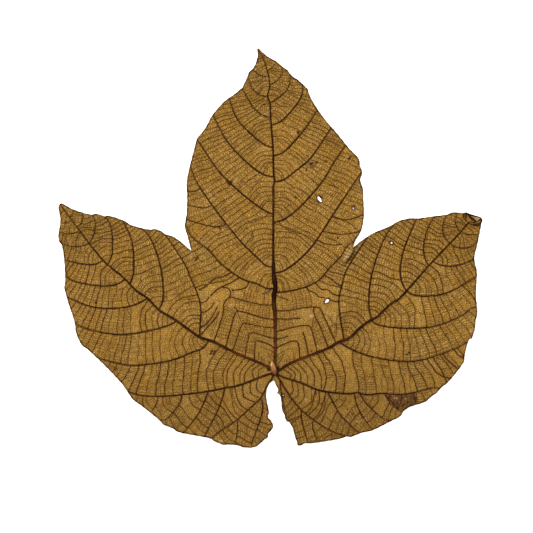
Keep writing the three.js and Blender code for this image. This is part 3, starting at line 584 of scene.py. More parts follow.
def dryTissue():  # matt, pressed and dried leaf tissue: ochre meshes between fine brown veins
    t = tissue
    material, tree, shader, place = newMaterial("dry leaf tissue", t["roughness"], t["gloss"])
    names = "paintedShade", "rungShade", "veinShade", "necrosis", "pale", "rust", "marginGap", "stainAndShadow"
    marks = marksOn(tree, names)
    patches = blotches(tree, place, t["patchSize"], 3, 0.32, 0.68)
    olive = blotches(tree, place, t["patchSize"] * 0.45, 2, 0.5, 0.75, 0, 0.4)
    mottle = blotches(tree, place, t["mottleSize"], 3, 0.3, 0.7)
    grain = blotches(tree, place, t["grainSize"], 1, 0.25, 0.75)
    tone = add(tree, "Mix", {0: 0.58, 2: mottle, 3: grain})
    dark = add(tree, "MapRange", [tone, 0.2, 0.8, t["grainShade"], 0], **eased)
    full, gone = (toFrame[1] + reach for reach in t["lowReach"])
    upMidrib = add(tree, "SeparateXYZ", [place], "Y")
    low = add(tree, "MapRange", [upMidrib, full, gone, t["lowShade"], 0], **eased)
    net = netOf(tree, place, t["netCell"], 0.9)
    netLine = add(tree, "MapRange", [net, 0.02, 0.2, t["netShade"], 0], **eased)
    deadMottle = add(tree, "MapRange", [mottle, 0, 1, 1, 0.72], **eased)
    paleMottle = add(tree, "MapRange", [tone, 0.1, 0.8, 0.4, 0.9], **eased)
    rim = add(tree, "MapRange", [marks["marginGap"], 0.35, 1.5, 1, 0], **eased)
    rimPatches = blotches(tree, place, t["rimPatchSize"], 2, 0.35, 0.6, 0.35, 1)
    layers = [
        [patches, 1, t["light"]],
        [olive, 1, t["olive"]],
        [dark, 1, t["dark"]],
        [low, 1, t["lowLobes"]],
        # painted shade in broad, faint patches, in the lower lobes' darker tone
        [marks["paintedShade"], 1, t["lowLobes"]],
        [netLine, 1, t["netBrown"]],
        [marks["rungShade"], t["rungShade"], t["rungHalo"]],
        [marks["veinShade"], t["veinShade"], t["halo"]],
        [marks["necrosis"], deadMottle, t["necrosis"]],
        # pale spots, and painted highlight on the lit side of each pleat
        [marks["pale"], paleMottle, t["pale"]],
        [marks["rust"], 1, t["rust"]],
        [rim, rimPatches, t["rim"]],
        # stains, with painted shadow round the stalk's stub and on each pleat's shaded side
        [marks["stainAndShadow"], 1, t["stainAndShadow"]],
    ]
    paint(tree, shader, t["middle"], layers)
    netRelief = add(tree, "MapRange", [net, 0, 0.25, 1, 0], **eased)
    carve(tree, shader, add(tree, "Mix", {0: 0.5, 2: netRelief, 3: mottle}), 0.6, t["reliefDepth"])
    rough = add(tree, "MapRange", [mottle, 0, 1, t["roughness"] - 0.06, t["roughness"] + 0.1], **eased)
    tree.links.new(rough, shader.inputs["Roughness"])
    return material


skin = {
    "light": "7d5a2c",
    "dark": "553a1b",
    "veinLine": "9a7440",  # the veins show as thin pale grooves on this side
    "rim": "38200c",
    "patchSize": 11,
    "grainSize": 0.8,
    "netCell": 1.3,  # as coarse as in the tissue, so that it shows
    "reliefDepth": 0.1,
    "roughness": 0.58,
    "gloss": 0.3,
}


def drySkin():  # the leaf's upper side, which lies face down: darker, smoother and faintly waxy
    material, tree, shader, place = newMaterial("dry upper skin", skin["roughness"], skin["gloss"])
    marks = marksOn(tree, ["rungShade", "veinShade", "stainAndShadow", "necrosis", "marginGap"])
    patches = blotches(tree, place, skin["patchSize"], 3, 0.3, 0.7)
    grain = blotches(tree, place, skin["grainSize"], 2, 0.3, 0.7)
    net = netOf(tree, place, skin["netCell"], 0.8)
    netLine = add(tree, "MapRange", [net, 0.02, 0.16, 0.35, 0], **eased)
    rim = add(tree, "MapRange", [marks["marginGap"], 0.2, 0.9, 0.8, 0], **eased)
    layers = [
        [patches, 1, skin["light"]],
        [netLine, 1, skin["veinLine"]],
        [marks["rungShade"], 0.5, skin["veinLine"]],
        [marks["veinShade"], 0.85, skin["veinLine"]],
        [marks["stainAndShadow"], 1, tissue["stainAndShadow"]],
        [marks["necrosis"], 1, tissue["necrosis"]],
        [rim, 1, skin["rim"]],
    ]
    paint(tree, shader, skin["dark"], layers)
    netRelief = add(tree, "MapRange", [net, 0, 0.2, 0, 1], **eased)
    carve(tree, shader, add(tree, "Mix", {0: 0.35, 2: netRelief, 3: grain}), 0.5, skin["reliefDepth"])
    return material


veinWood = {
    "foot": "0e0502",  # near black: the veins' own dark colour, and painted shade down each rib's flanks to its foot
    "crest": "251006",
    "crestLight": "4a2c12",
    "crestRed": "71351a",  # crest of the main veins near the stalk
    "rung": "4e2c10",
    "rungDark": "1e0c04",
    "patchSize": 7,
    "grainSize": 0.7,
    "rungGrainSize": 0.9,
    "roughness": 0.75,
    "rungRoughness": 0.8,
    "gloss": 0.03,
}


def driedVein():  # woody, dull ribs: a brown crest, redder near the stalk, and painted shade that darkens the flanks to near black at the foot
    w = veinWood
    material, tree, shader, place = newMaterial("dried vein", w["roughness"], w["gloss"])
    marks = marksOn(tree, ["crest", "paleness", "redness"])
    patches = blotches(tree, place, w["patchSize"], 3, 0.38, 0.62)
    fine = blotches(tree, place, w["grainSize"], 2, 0.3, 0.7)
    # painted shade: darker down each rib's flanks, near black at its foot
    foot = add(tree, "MapRange", [marks["crest"], 0.45, 1, 1, 0], **eased)
    layers = [
        [marks["paleness"], 1, w["crestLight"]],
        [marks["redness"], 1, w["crestRed"]],
        [patches, 0.55, w["foot"]],
        [foot, 1, w["foot"]],
        [fine, 0.3, w["foot"]],
    ]
    paint(tree, shader, w["crest"], layers)
    carve(tree, shader, fine, 0.4, 0.1)
    return material


def driedRung():  # cross veins, thin enough to look brown where they are weak
    w = veinWood
    material, tree, shader, place = newMaterial("dried cross vein", w["rungRoughness"], w["gloss"])
    marks = marksOn(tree, ["strength"])
    fine = blotches(tree, place, w["rungGrainSize"], 2, 0.3, 0.7)
    paint(tree, shader, w["rung"], [[marks["strength"], 1, w["rungDark"]], [fine, 0.3, tissue["netBrown"]]])
    return material


# Pieces
def newPiece(name, vertices, faces, materials, values={}, faceMaterial=None):
    mesh = bpy.data.meshes.new(name)
    places = np.array(vertices, float)
    places[:, :2] += toFrame
    mesh.from_pydata((places * mm).tolist(), [], faces)
    for material in materials:
        mesh.materials.append(material)
    if faceMaterial is not None:
        mesh.polygons.foreach_set("material_index", faceMaterial)
    mesh.polygons.foreach_set("use_smooth", [True] * len(mesh.polygons))
    for label, numbers in values.items():
        stored = mesh.attributes.new(label, "FLOAT", "POINT")
        stored.data.foreach_set("value", np.array(numbers, np.float32))
    mesh.validate()
    mesh.update()
    piece = bpy.data.objects.new(name, mesh)
    bpy.context.scene.collection.objects.link(piece)
    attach(piece, "root")
    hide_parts("leaf")
    print(name, len(mesh.polygons), "faces")


def tubeFaces(stations, sides, first):
    faces = []
    for station in range(stations - 1):
        here = first + station * sides
        for side in range(sides):
            after = (side + 1) % sides
            faces.append([here + side, here + after, here + sides + after, here + sides + side])
    last = first + (stations - 1) * sides
    faces.append([first + side for side in reversed(range(sides))])
    faces.append([last + side for side in range(sides)])
    return faces


def newTubes(name, tubes, material, values={}):  # one piece of many tubes, each an array of rings of points
    faces, count = [], 0
    for rings in tubes:
        faces += tubeFaces(rings.shape[0], rings.shape[1], count)
        count += rings.shape[0] * rings.shape[1]
    places = np.concatenate([rings.reshape(-1, 3) for rings in tubes])
    values = {label: np.concatenate([part.ravel() for part in parts]) for label, parts in values.items()}
    newPiece(name, places, faces, [material], values)


def tubeAround(line, top, radius, sides, roundness=1):
    side = normalsOf(line)
    radius = np.broadcast_to(radius, len(line))
    rings = []
    for turn in np.arange(sides) * 2 * math.pi / sides:
        flat = line + side * (radius * math.cos(turn))[:, None]
        rings.append(np.column_stack([flat, top + radius * roundness * math.sin(turn)]))
    return np.stack(rings, 1)


def sheetOf(flat, lower, thickness, triangles):  # closed: its upper faces, its lower faces, then its edge
    directed = {(i, j) for face in triangles for i, j in zip(face, face[1:] + face[:1])}
    border = sorted((i, j) for i, j in directed if (j, i) not in directed)
    total = len(flat)
    faces = [[i + total for i in face] for face in triangles] + [face[::-1] for face in triangles]
    faces += [[i, j, j + total, i + total] for i, j in border]
    return np.column_stack([np.vstack([flat, flat]), np.concatenate([lower, lower + thickness])]), faces


mainVeins = {  # widths, heights and redness from the base to the tip, evenly spread; millimetres
    "midrib": {
        "width": [1.8, 1.7, 1.8, 2.7, 2.9, 1.3, 1.15, 1.15, 1.05, 1, 0.9, 0.8, 0.65, 0.45, 0.25],
        "height": [1.25, 1.2, 1.2, 0.8, 0.6, 0.5, 0.35, 0.2],
        "redness": [1, 1, 0.3, 0, 0, 0.3, 0.4, 0.2, 0.2, 0, 0, 0],
    },
    "leftPrimary": {
        "width": [1.4, 1.5, 1.6, 1.35, 1, 0.8, 0.5, 0.25],
        "height": [1, 1, 1, 0.8, 0.6, 0.5, 0.35, 0.2],
        "redness": [1, 0.7, 0.15, 0.5, 0.1, 0, 0, 0],
    },
    "rightPrimary": {
        "width": [1.45, 1.4, 1.65, 1.35, 1, 0.8, 0.65, 0.5],
        "height": [1, 1, 1, 0.8, 0.6, 0.5, 0.35, 0.3],
        "redness": [1, 0.8, 0.3, 0.3, 0, 0, 0, 0],
    },
    "leftBasal": {"width": [1.05, 0.95, 0.6, 0.25], "height": [0.7, 0.5, 0.35, 0.2], "redness": [0.3, 0]},
    "rightBasal": {"width": [1.1, 0.95, 0.55, 0.2], "height": [0.7, 0.5, 0.35, 0.2], "redness": [0.4, 0]},
    "leftLowest": {"width": [1, 0.65, 0.35, 0.2], "height": [0.6, 0.45, 0.3, 0.2], "redness": [0.6, 0]},
    "rightLowest": {"width": [1, 0.65, 0.35, 0.2], "height": [0.6, 0.45, 0.3, 0.2], "redness": [0.6, 0]},
}
sideVeins = {  # of a long one; the short ones near the lobe tips are thinner all along
    "width": [0.72, 0.64, 0.52, 0.26],
    "height": [0.45, 0.35, 0.25, 0.14],
    "redness": [0.3, 0, 0],
    "fullLength": 40,
    "thinnest": 0.42,
}
ribs = {"step": 0.9, "sunk": 0.16, "taper": 0.9, "widthChange": 0.13, "heightChange": 0.15}


def alongShares(share, values):
    return np.interp(share, np.linspace(0, 1, len(values)), values)


def ribRings(line, size, sides, seed):  # half-round bar that follows the blade
    along = lengthsAlong(line)
    share = along / along[-1]
    ends = np.clip((np.minimum(along, along[-1] - along) + 0.2) / ribs["taper"], 0.25, 1)
    width = alongShares(share, size["width"])
    width *= (1 + ribs["widthChange"] * unevenness(along * 0.7, seed)) * ends
    height = alongShares(share, size["height"])
    height *= (1 + ribs["heightChange"] * unevenness(along * 0.45, seed + 2)) * ends
    side, top = normalsOf(line), topOf(line)
    rings, crests = [], []
    for turn in np.linspace(0, math.pi, sides):
        places = line + side * (np.cos(turn) * width / 2)[:, None]
        rings.append(np.column_stack([places, top + height * math.sin(turn) ** 0.8]))
        crests.append(np.full(len(line), math.sin(turn)))
    for turn in (math.pi, 0):
        places = line + side * (np.cos(turn) * width / 2)[:, None]
        rings.append(np.column_stack([places, top - ribs["sunk"]]))
        crests.append(np.zeros(len(line)))
    redness = alongShares(share, size["redness"]) * (0.8 + 0.3 * unevenness(along * 0.2, seed + 5))
    paleness = np.clip(0.35 + 0.6 * unevenness(along * 0.16, seed * 1.7 + 1), 0, 1)
    spread = [np.repeat(values[:, None], len(rings), 1) for values in (redness, paleness)]
    return np.stack(rings, 1), np.stack(crests, 1), spread[0], spread[1]


def sideVeinSize(points):  # a short vein is thinner than a long one
    length = lengthsAlong(np.array(points, float))[-1]
    share = sideVeins["thinnest"] + (1 - sideVeins["thinnest"]) * min(1, length / sideVeins["fullLength"])
    return {**sideVeins, "width": [share * width for width in sideVeins["width"]]}


def makeRibs(name, lines, sides, material):
    parts = []
    for seed, (points, size) in enumerate(lines):
        parts.append(ribRings(smoothLine(points, ribs["step"]), size, sides, seed))
    tubes, crest, redness, paleness = zip(*parts)
    newTubes(name, tubes, material, {"crest": crest, "redness": redness, "paleness": paleness})


# Cross veins: rungs between neighbouring veins, set square to both and bowed round the axil
rungs = {
    "spacing": 2.65,  # where the veins stand usualGap apart; wider gaps have wider rungs
    "usualGap": 12.5,
    "lowLobes": 1.8,  # how much wider in the two lobes beside the stalk
    "midribBold": 0.74,
    "greatBold": 1.2,
    "chevronSpacing": 2,  # the fainter ones between the chevrons near the stalk
    "chevronBold": 0.5,
    "start": 3.2,
    "endGap": 1.2,
    "uneven": 0.2,  # share by which the spacing changes
    "most": 200,  # between two veins
    "lineStep": 0.5,  # of the veins, while the rungs are worked out
    "step": 0.95,
    "gapShares": [0.8, 1.45],  # least and most that a gap's width changes the spacing
    "least": 0.55,  # share of the spacing that their middles keep
    "halfWidth": [0.075, 0.195],  # of the weakest and the strongest
    "wobble": 0.24,
    "bow": 1.05,
    "knee": 0.6,  # how much sharper they turn in a wide axil
    "greatStart": 27,  # where they begin between two great veins, outside those listed above
    "lean": 0.16,  # how far they lean towards the tips as they leave a vein
    "slide": 0.13,  # how much further out they stand on the lower vein, as a share of their length
    "greatSlide": 0.24,  # the same between two great veins
    "runOn": 36,  # how far past the margin the ladders are worked out, to fill the strip along it
    "forkShare": 0.28,  # of the gaps between two rungs that hold a thin one, which joins its neighbour
    "forkLengths": [0.35, 0.8],  # as shares of its neighbour
    "forkStrengths": [0, 0.35],
    "strengths": [0.35, 1.1],
    "shortest": 1.9,
    "fullLength": 9,  # shorter ones are fainter
    "nearListed": 1.1,  # one this close to a listed cross vein is left out
    "listed": {"strong": 1.4, "innermost": 0.55, "nearStalk": 0.85},  # how strong those show
    "innermost": 12,  # of those near the stalk, the first and faintest
    "sides": 4,
}
netVeins = {"spacing": 1.25, "halfWidth": 0.1, "shortest": 0.9, "longest": 6, "strongest": 0.62}


def nearestIndex(points, line):
    tree = treeOf(line)
    return np.array([tree.find((x, y, 0))[1] for x, y in points])


def pairedDistances(one, other):  # which point of the other line faces each point of the first
    step = rungs["lineStep"]
    a, b = evenSteps(one, step), evenSteps(other, step)
    ahead = np.maximum.accumulate(nearestIndex(a, b)).astype(float)
    back = np.maximum.accumulate(nearestIndex(b, a)) + 1e-4 * np.arange(len(b))
    behind = np.interp(np.arange(len(a)), back, np.arange(len(b)))
    facing = (ahead + behind) / 2
    reach = 9
    padded = np.concatenate([-facing[reach:0:-1], facing, 2 * facing[-1] - facing[-2 : -reach - 2 : -1]])
    facing = np.convolve(padded, np.ones(2 * reach + 1) / (2 * reach + 1), "valid")
    return np.arange(len(a)) * step, np.clip(facing, 0, len(b) - 1) * step


def smoothNormals(line):
    normals = normalsOf(line)
    kernel = np.ones(9) / 9
    padded = np.vstack([normals[:1].repeat(4, 0), normals, normals[-1:].repeat(4, 0)])
    return np.column_stack([np.convolve(padded[:, axis], kernel, "valid") for axis in (0, 1)])


def pastMargin(line, neighbour):  # a line that ends at the margin is drawn on, the way its neighbour goes
    if gapsTo(marginTree, line[-1:])[0] > 3:
        return line
    ways = [(ends[-1] - ends[-9]) / np.linalg.norm(ends[-1] - ends[-9]) for ends in (line, neighbour)]
    way = (ways[0] + 1.5 * ways[1]) / np.linalg.norm(ways[0] + 1.5 * ways[1])
    step = rungs["lineStep"]
    return np.vstack([line, line[-1] + way * np.arange(step, rungs["runOn"], step)[:, None]])


def rungsBetween(one, other, spacing, bold, start, seed):
    step, usual = rungs["lineStep"], bold > rungs["chevronBold"]
    one, other = evenSteps(pastMargin(one, other), step), evenSteps(pastMargin(other, one), step)
    fromDistances, toDistances = pairedDistances(one, other)
    middle = (fromDistances + toDistances) / 2
    normalsOne, normalsOther = smoothNormals(one), smoothNormals(other)
    found = []
    reach = middle[-1] - rungs["endGap"]
    at, last = start, None
    for index in range(rungs["most"]):
        if at > reach:
            break
        i = min(len(one) - 1, int(np.interp(at, middle, np.arange(len(middle)))))
        j = int(min(len(other) - 1, round(toDistances[i] / step)))
        if usual:
            slide = rungs["greatSlide"] if start == rungs["greatStart"] else rungs["slide"]
            slide *= np.linalg.norm(other[j] - one[i])
            i = min(len(one) - 1, i + round(slide / step))
        foot, end = one[i], other[j]
        run = end - foot
        length = np.linalg.norm(run)
        room = spacing * (np.clip(length / rungs["usualGap"], *rungs["gapShares"]) if usual else 1)
        at += room * (1 + rungs["uneven"] * unevenness(index * 1.9, 7.7 * seed))
        if length < rungs["shortest"]:
            continue
        leave = normalsOne[i] * np.sign(normalsOne[i] @ run)
        arrive = normalsOther[j] * np.sign(normalsOther[j] @ run)
        lean = rungs["lean"] * min(1, length / rungs["usualGap"]) ** 2
        leave = leave + lean * np.array([normalsOne[i][1], -normalsOne[i][0]])
        arrive = arrive - lean * np.array([normalsOther[j][1], -normalsOther[j][0]])
        t = np.linspace(0, 1, max(4, round(length / rungs["step"]) + 1))[:, None]
        bow = length * (rungs["bow"] + rungs["knee"] * math.sqrt(max(0, 1 - leave @ arrive) / 2))
        line = (
            foot * (2 * t**3 - 3 * t**2 + 1)
            + leave * bow * (t**3 - 2 * t**2 + t)
            + end * (3 * t**2 - 2 * t**3)
            + arrive * bow * (t**3 - t**2)
        )
        centre = line[len(line) // 2]
        if last is not None and np.linalg.norm(centre - last) < rungs["least"] * room:
            continue
        last = centre
        wobble = rungs["wobble"] * np.sin(math.pi * t[:, 0]) ** 0.5
        wobble *= unevenness(t[:, 0] * length * 0.6, seed * 3.1 + index * 1.7)
        found.append(line + normalsOf(line) * wobble[:, None])
    return found


def forkBetween(low, high, share):  # starts between two rungs and runs into the second
    t = np.linspace(0, 1, 24)
    lines = [pointsAt(line, t * lengthsAlong(line)[-1]) for line in (low, high)]
    lean = 0.5 + 0.5 * easeIn((t / share - 0.35) / 0.65)[:, None]
    return evenSteps((lines[0] * (1 - lean) + lines[1] * lean)[t <= share], rungs["step"])


def netBetween(low, high, seed):  # the finest veins, from one rung to the next
    found = []
    lengths = [lengthsAlong(line)[-1] for line in (low, high)]
    count = int(np.mean(lengths) / netVeins["spacing"])
    for index in range(count):
        ends = []
        for line, length, phase in zip((low, high), lengths, (0, 0.7)):
            share = (index + 0.5 + 0.3 * unevenness(index * 2.1 + phase, seed)) / count
            ends.append(pointsAt(line, [share * length])[0])
        run = ends[1] - ends[0]
        if netVeins["shortest"] < np.linalg.norm(run) < netVeins["longest"]:
            aside = np.array([-run[1], run[0]]) * 0.12 * math.sin(5.1 * index + seed)
            found.append([ends[0], (ends[0] + ends[1]) / 2 + aside, ends[1]])
    return found


def between(primary, here, there):  # a vein from one of its points to another
    low, high = sorted([nearestIndex([here], primary)[0], nearestIndex([there], primary)[0]])
    return primary[low : high + 1]


def ladders():  # pairs of neighbouring veins, and how close and bold their rungs are and where they start
    fine, wide, first = rungs["lineStep"], rungs["spacing"], rungs["start"]
    primary = {name: smoothLine(points, fine) for name, points in primaryVeins.items()}
    second = {name: [smoothLine(points, fine) for points in group] for name, group in secondaryVeins.items()}
    left = [smoothLine(points, fine) for points in leftChevrons]
    right = {name: smoothLine(points, fine) for name, points in rightChevrons.items()}
    junction = [0, 0]

    def along(name, here, vein):  # up the primary from here to where the vein leaves it, then along the vein
        return np.vstack([between(primary[name], here, vein[0]), vein[1:]])

    pairs, lowWide = [], wide * rungs["lowLobes"]
    midribBold, lowLobes = rungs["midribBold"], rungs["lowLobes"]
    sides = {  # the primary that carries them, how much wider their rungs stand, and how bold those are
        "midribLeft": ["midrib", 0.86, midribBold],
        "midribRight": ["midrib", 0.86, midribBold],
        "leftPrimaryInner": ["leftPrimary", 1.1, 1],
        "leftPrimaryOuter": ["leftPrimary", 1.2, 1],
        "rightPrimaryInner": ["rightPrimary", 1.1, 1],
        "rightPrimaryOuter": ["rightPrimary", 1.2, 1],
        "leftBasalBelow": ["leftBasal", lowLobes, 1],
        "rightBasalBelow": ["rightBasal", lowLobes, 1],
        "leftLowestBelow": ["leftLowest", lowLobes, 1],
        "rightLowestBelow": ["rightLowest", lowLobes, 1],
    }
    for group, (name, openness, bold) in sides.items():
        veins = second[group]
        nexts = [along(name, vein[0], after) for vein, after in zip(veins, veins[1:])]
        nexts.append(between(primary[name], veins[-1][0], primary[name][-1]))
        for vein, after in zip(veins, nexts):
            pairs.append((vein, after, wide * openness, bold, first))
    for low, high, branch, spacing in (
        ("leftBasal", "leftPrimary", second["leftPrimaryOuter"][0], wide * 1.35),
        ("rightBasal", "rightPrimary", second["rightPrimaryOuter"][0], wide * 1.5),
        ("leftLowest", "leftBasal", second["leftBasalBelow"][0], lowWide),
        ("rightLowest", "rightBasal", second["rightBasalBelow"][0], lowWide),
    ):
        line = along(high, junction, branch)
        pairs.append((primary[low], line, spacing, rungs["greatBold"], rungs["greatStart"]))
    torn, lobe = (smoothLine(marginStretches[name], fine) for name in ("leftTornEdge", "leftBasalLobe"))
    lowest = along("leftLowest", junction, second["leftLowestBelow"][0])
    pairs.append((np.vstack([torn, lobe[1:40]]), lowest, lowWide, 1, first))

    # Between the three great veins the chevrons do what the side veins do elsewhere
    leftSide, rightSide = second["leftPrimaryInner"][0], second["rightPrimaryInner"][0]
    leftUp, rightUp = second["midribLeft"][0], second["midribRight"][0]
    close, faint = rungs["chevronSpacing"], rungs["chevronBold"]
    for outer, inner in zip(left, left[1:]):
        pairs.append((outer, inner, close, faint, first))
    top, short, leg, inner = (right[name] for name in ("widest", "short", "leg", "inner"))
    nested = [  # two neighbours, each with the ends of the stretch that faces the other
        [leftSide, [-46, 46], leftSide[-1], leftUp, [-21, 57.4], leftUp[-1], wide, 1],
        [rightSide, [38.4, 46], rightSide[-1], rightUp, [24, 54.4], rightUp[-1], wide, 1],
        [left[0], [-1, 41], [-24, 44.4], leftUp, [-1, 50.8], [-20, 57], close, faint],
        [left[0], [-36, 19], [-30.4, 41.6], leftSide, [-45.6, 23], [-45, 43], close, faint],
        [top, [1, 37.4], [24, 39], rightUp, [1, 48.6], [20, 52.3], close, faint],
        [top, [28, 37], [36, 19], rightSide, [38.2, 42], [40.6, 22], close, faint],
        [leg, leg[0], leg[-1], top, [26, 39.4], [36, 19], close, faint],
        [short, short[0], short[-1], top, [0.2, 37.4], [15, 38], close, faint],
        [inner, [20.4, 28], [25, 13.6], leg, leg[0], leg[-1], close, faint],
        [inner, [0.2, 25], [14, 27.2], short, short[0], short[-1], close, faint],
    ]
    for one, oneFrom, oneTo, other, otherFrom, otherTo, spacing, bold in nested:
        stretches = between(one, oneFrom, oneTo), between(other, otherFrom, otherTo)
        pairs.append((*stretches, spacing, bold, first))
    return pairs


def keptStretches(line, keep):  # the stretches of a line that lie on the blade
    stretches, current = [], []
    for point, good in zip(line, keep):
        if good:
            current.append(point)
        elif current:
            stretches.append(np.array(current))
            current = []
    if current:
        stretches.append(np.array(current))
    return [stretch for stretch in stretches if len(stretch) > 2]


def makeRungs(material):
    usual, innermost = rungs["listed"], rungs["innermost"]
    strong = leftChevrons + list(rightChevrons.values()) + crossVeins
    listed = [smoothLine(points, rungs["step"]) for points in strong + nearStalk]
    listedTree = treeOf(np.concatenate([evenSteps(line, 0.4) for line in listed]))
    strengths = [usual["strong"]] * len(strong) + [usual["innermost"]] * innermost
    strengths += [usual["nearStalk"]] * (len(nearStalk) - innermost)
    strengths = [strength + 0.25 * unevenness(index * 1.3, 2) for index, strength in enumerate(strengths)]
    lines, net = list(listed), []
    random = np.random.default_rng(11)
    for seed, (one, other, spacing, bold, start) in enumerate(ladders()):
        found = rungsBetween(one, other, spacing, bold, start, seed)
        for low, high in zip(found, found[1:]):
            net += netBetween(low, high, seed)
            if random.random() < rungs["forkShare"] * (bold > rungs["chevronBold"]):
                pair = [low, high] if random.random() < 0.5 else [high[::-1], low[::-1]]
                lines.append(forkBetween(*pair, random.uniform(*rungs["forkLengths"])))
                strengths.append(random.uniform(*rungs["forkStrengths"]))
        for line in found:
            inner = line[len(line) // 3 : -(len(line) // 3)]
            if np.mean(gapsTo(listedTree, inner) < rungs["nearListed"]) < 0.4:
                lines.append(line)
                fullness = min(1, lengthsAlong(line)[-1] / rungs["fullLength"])
                strengths.append(random.uniform(*rungs["strengths"]) * bold * fullness)
    kept = []
    for line, strength in zip(lines, strengths):
        kept += [(part, strength) for part in keptStretches(line, insideBlade(line))]
    tubes, marks, marked = [], [], []
    thin, thick = rungs["halfWidth"]
    for index, (line, strength) in enumerate(kept):
        along = lengthsAlong(line)
        local = strength + 0.22 * unevenness(along * 0.5, index * 0.7) + 0.1 * unevenness(along * 2.3, index)
        local = np.clip(local, 0, 1.5)
        radius = (thin + (thick - thin) * local) * min(1, 0.55 + 0.05 * along[-1])
        radius *= 1 + 0.4 * np.exp(-((np.minimum(along, along[-1] - along) / 0.7) ** 2))
        tubes.append(tubeAround(line, topOf(line) - 0.02, radius, rungs["sides"], 0.9))
        marks.append(np.repeat(local, rungs["sides"]))
        marked.append((line, local))
    newTubes("crossVeins", tubes, material, {"strength": marks})
    makeNet(np.array(net), material)
    return marked


def makeNet(lines, material):  # three points each, so all are worked out at once
    lines = lines[insideBlade(lines.reshape(-1, 2)).reshape(-1, 3).all(axis=1)]
    run = lines[:, 2] - lines[:, 0]
    side = np.column_stack([-run[:, 1], run[:, 0]]) / np.linalg.norm(run, axis=1, keepdims=True)
    side = np.repeat(side[:, None], 3, 1)
    top = topOf(lines.reshape(-1, 2)).reshape(-1, 3) - 0.03
    radius, rings = netVeins["halfWidth"], []
    for turn in (0, 2 * math.pi / 3, 4 * math.pi / 3):
        flat = lines + side * radius * math.sin(turn)
        rings.append(np.dstack([flat, (top + radius * math.cos(turn))[:, :, None]]))
    places = np.stack(rings, 2).reshape(-1, 3)
    edges = [(start + corner, start + (corner + 1) % 3) for start in (0, 3) for corner in range(3)]
    firsts = 9 * np.arange(len(lines))[:, None, None]
    faces = (np.array([[a, b, b + 3, a + 3] for a, b in edges])[None] + firsts).reshape(-1, 4).tolist()
    faces += (np.array([[2, 1, 0], [6, 7, 8]])[None] + firsts).reshape(-1, 3).tolist()
    strength = np.random.default_rng(3).random(len(lines)).repeat(9) * netVeins["strongest"]
    newPiece("finestVeins", places, faces, [material], {"strength": strength})


def insideBlade(points):
    points = np.asarray(points, float)
    crossings = np.zeros(len(points), int)
    for ring in [outline] + holeRings:
        (ax, ay), (bx, by) = ring.T, np.roll(ring, -1, axis=0).T
        for first in range(0, len(points), 2000):
            x, y = points[first : first + 2000].T[:, :, None]
            spans = (ay > y) != (by > y)
            with np.errstate(divide="ignore", invalid="ignore"):
                left = x < ax + (y - ay) * (bx - ax) / (by - ay)
            crossings[first : first + 2000] += np.sum(spans & left, axis=1)
    return crossings % 2 == 1
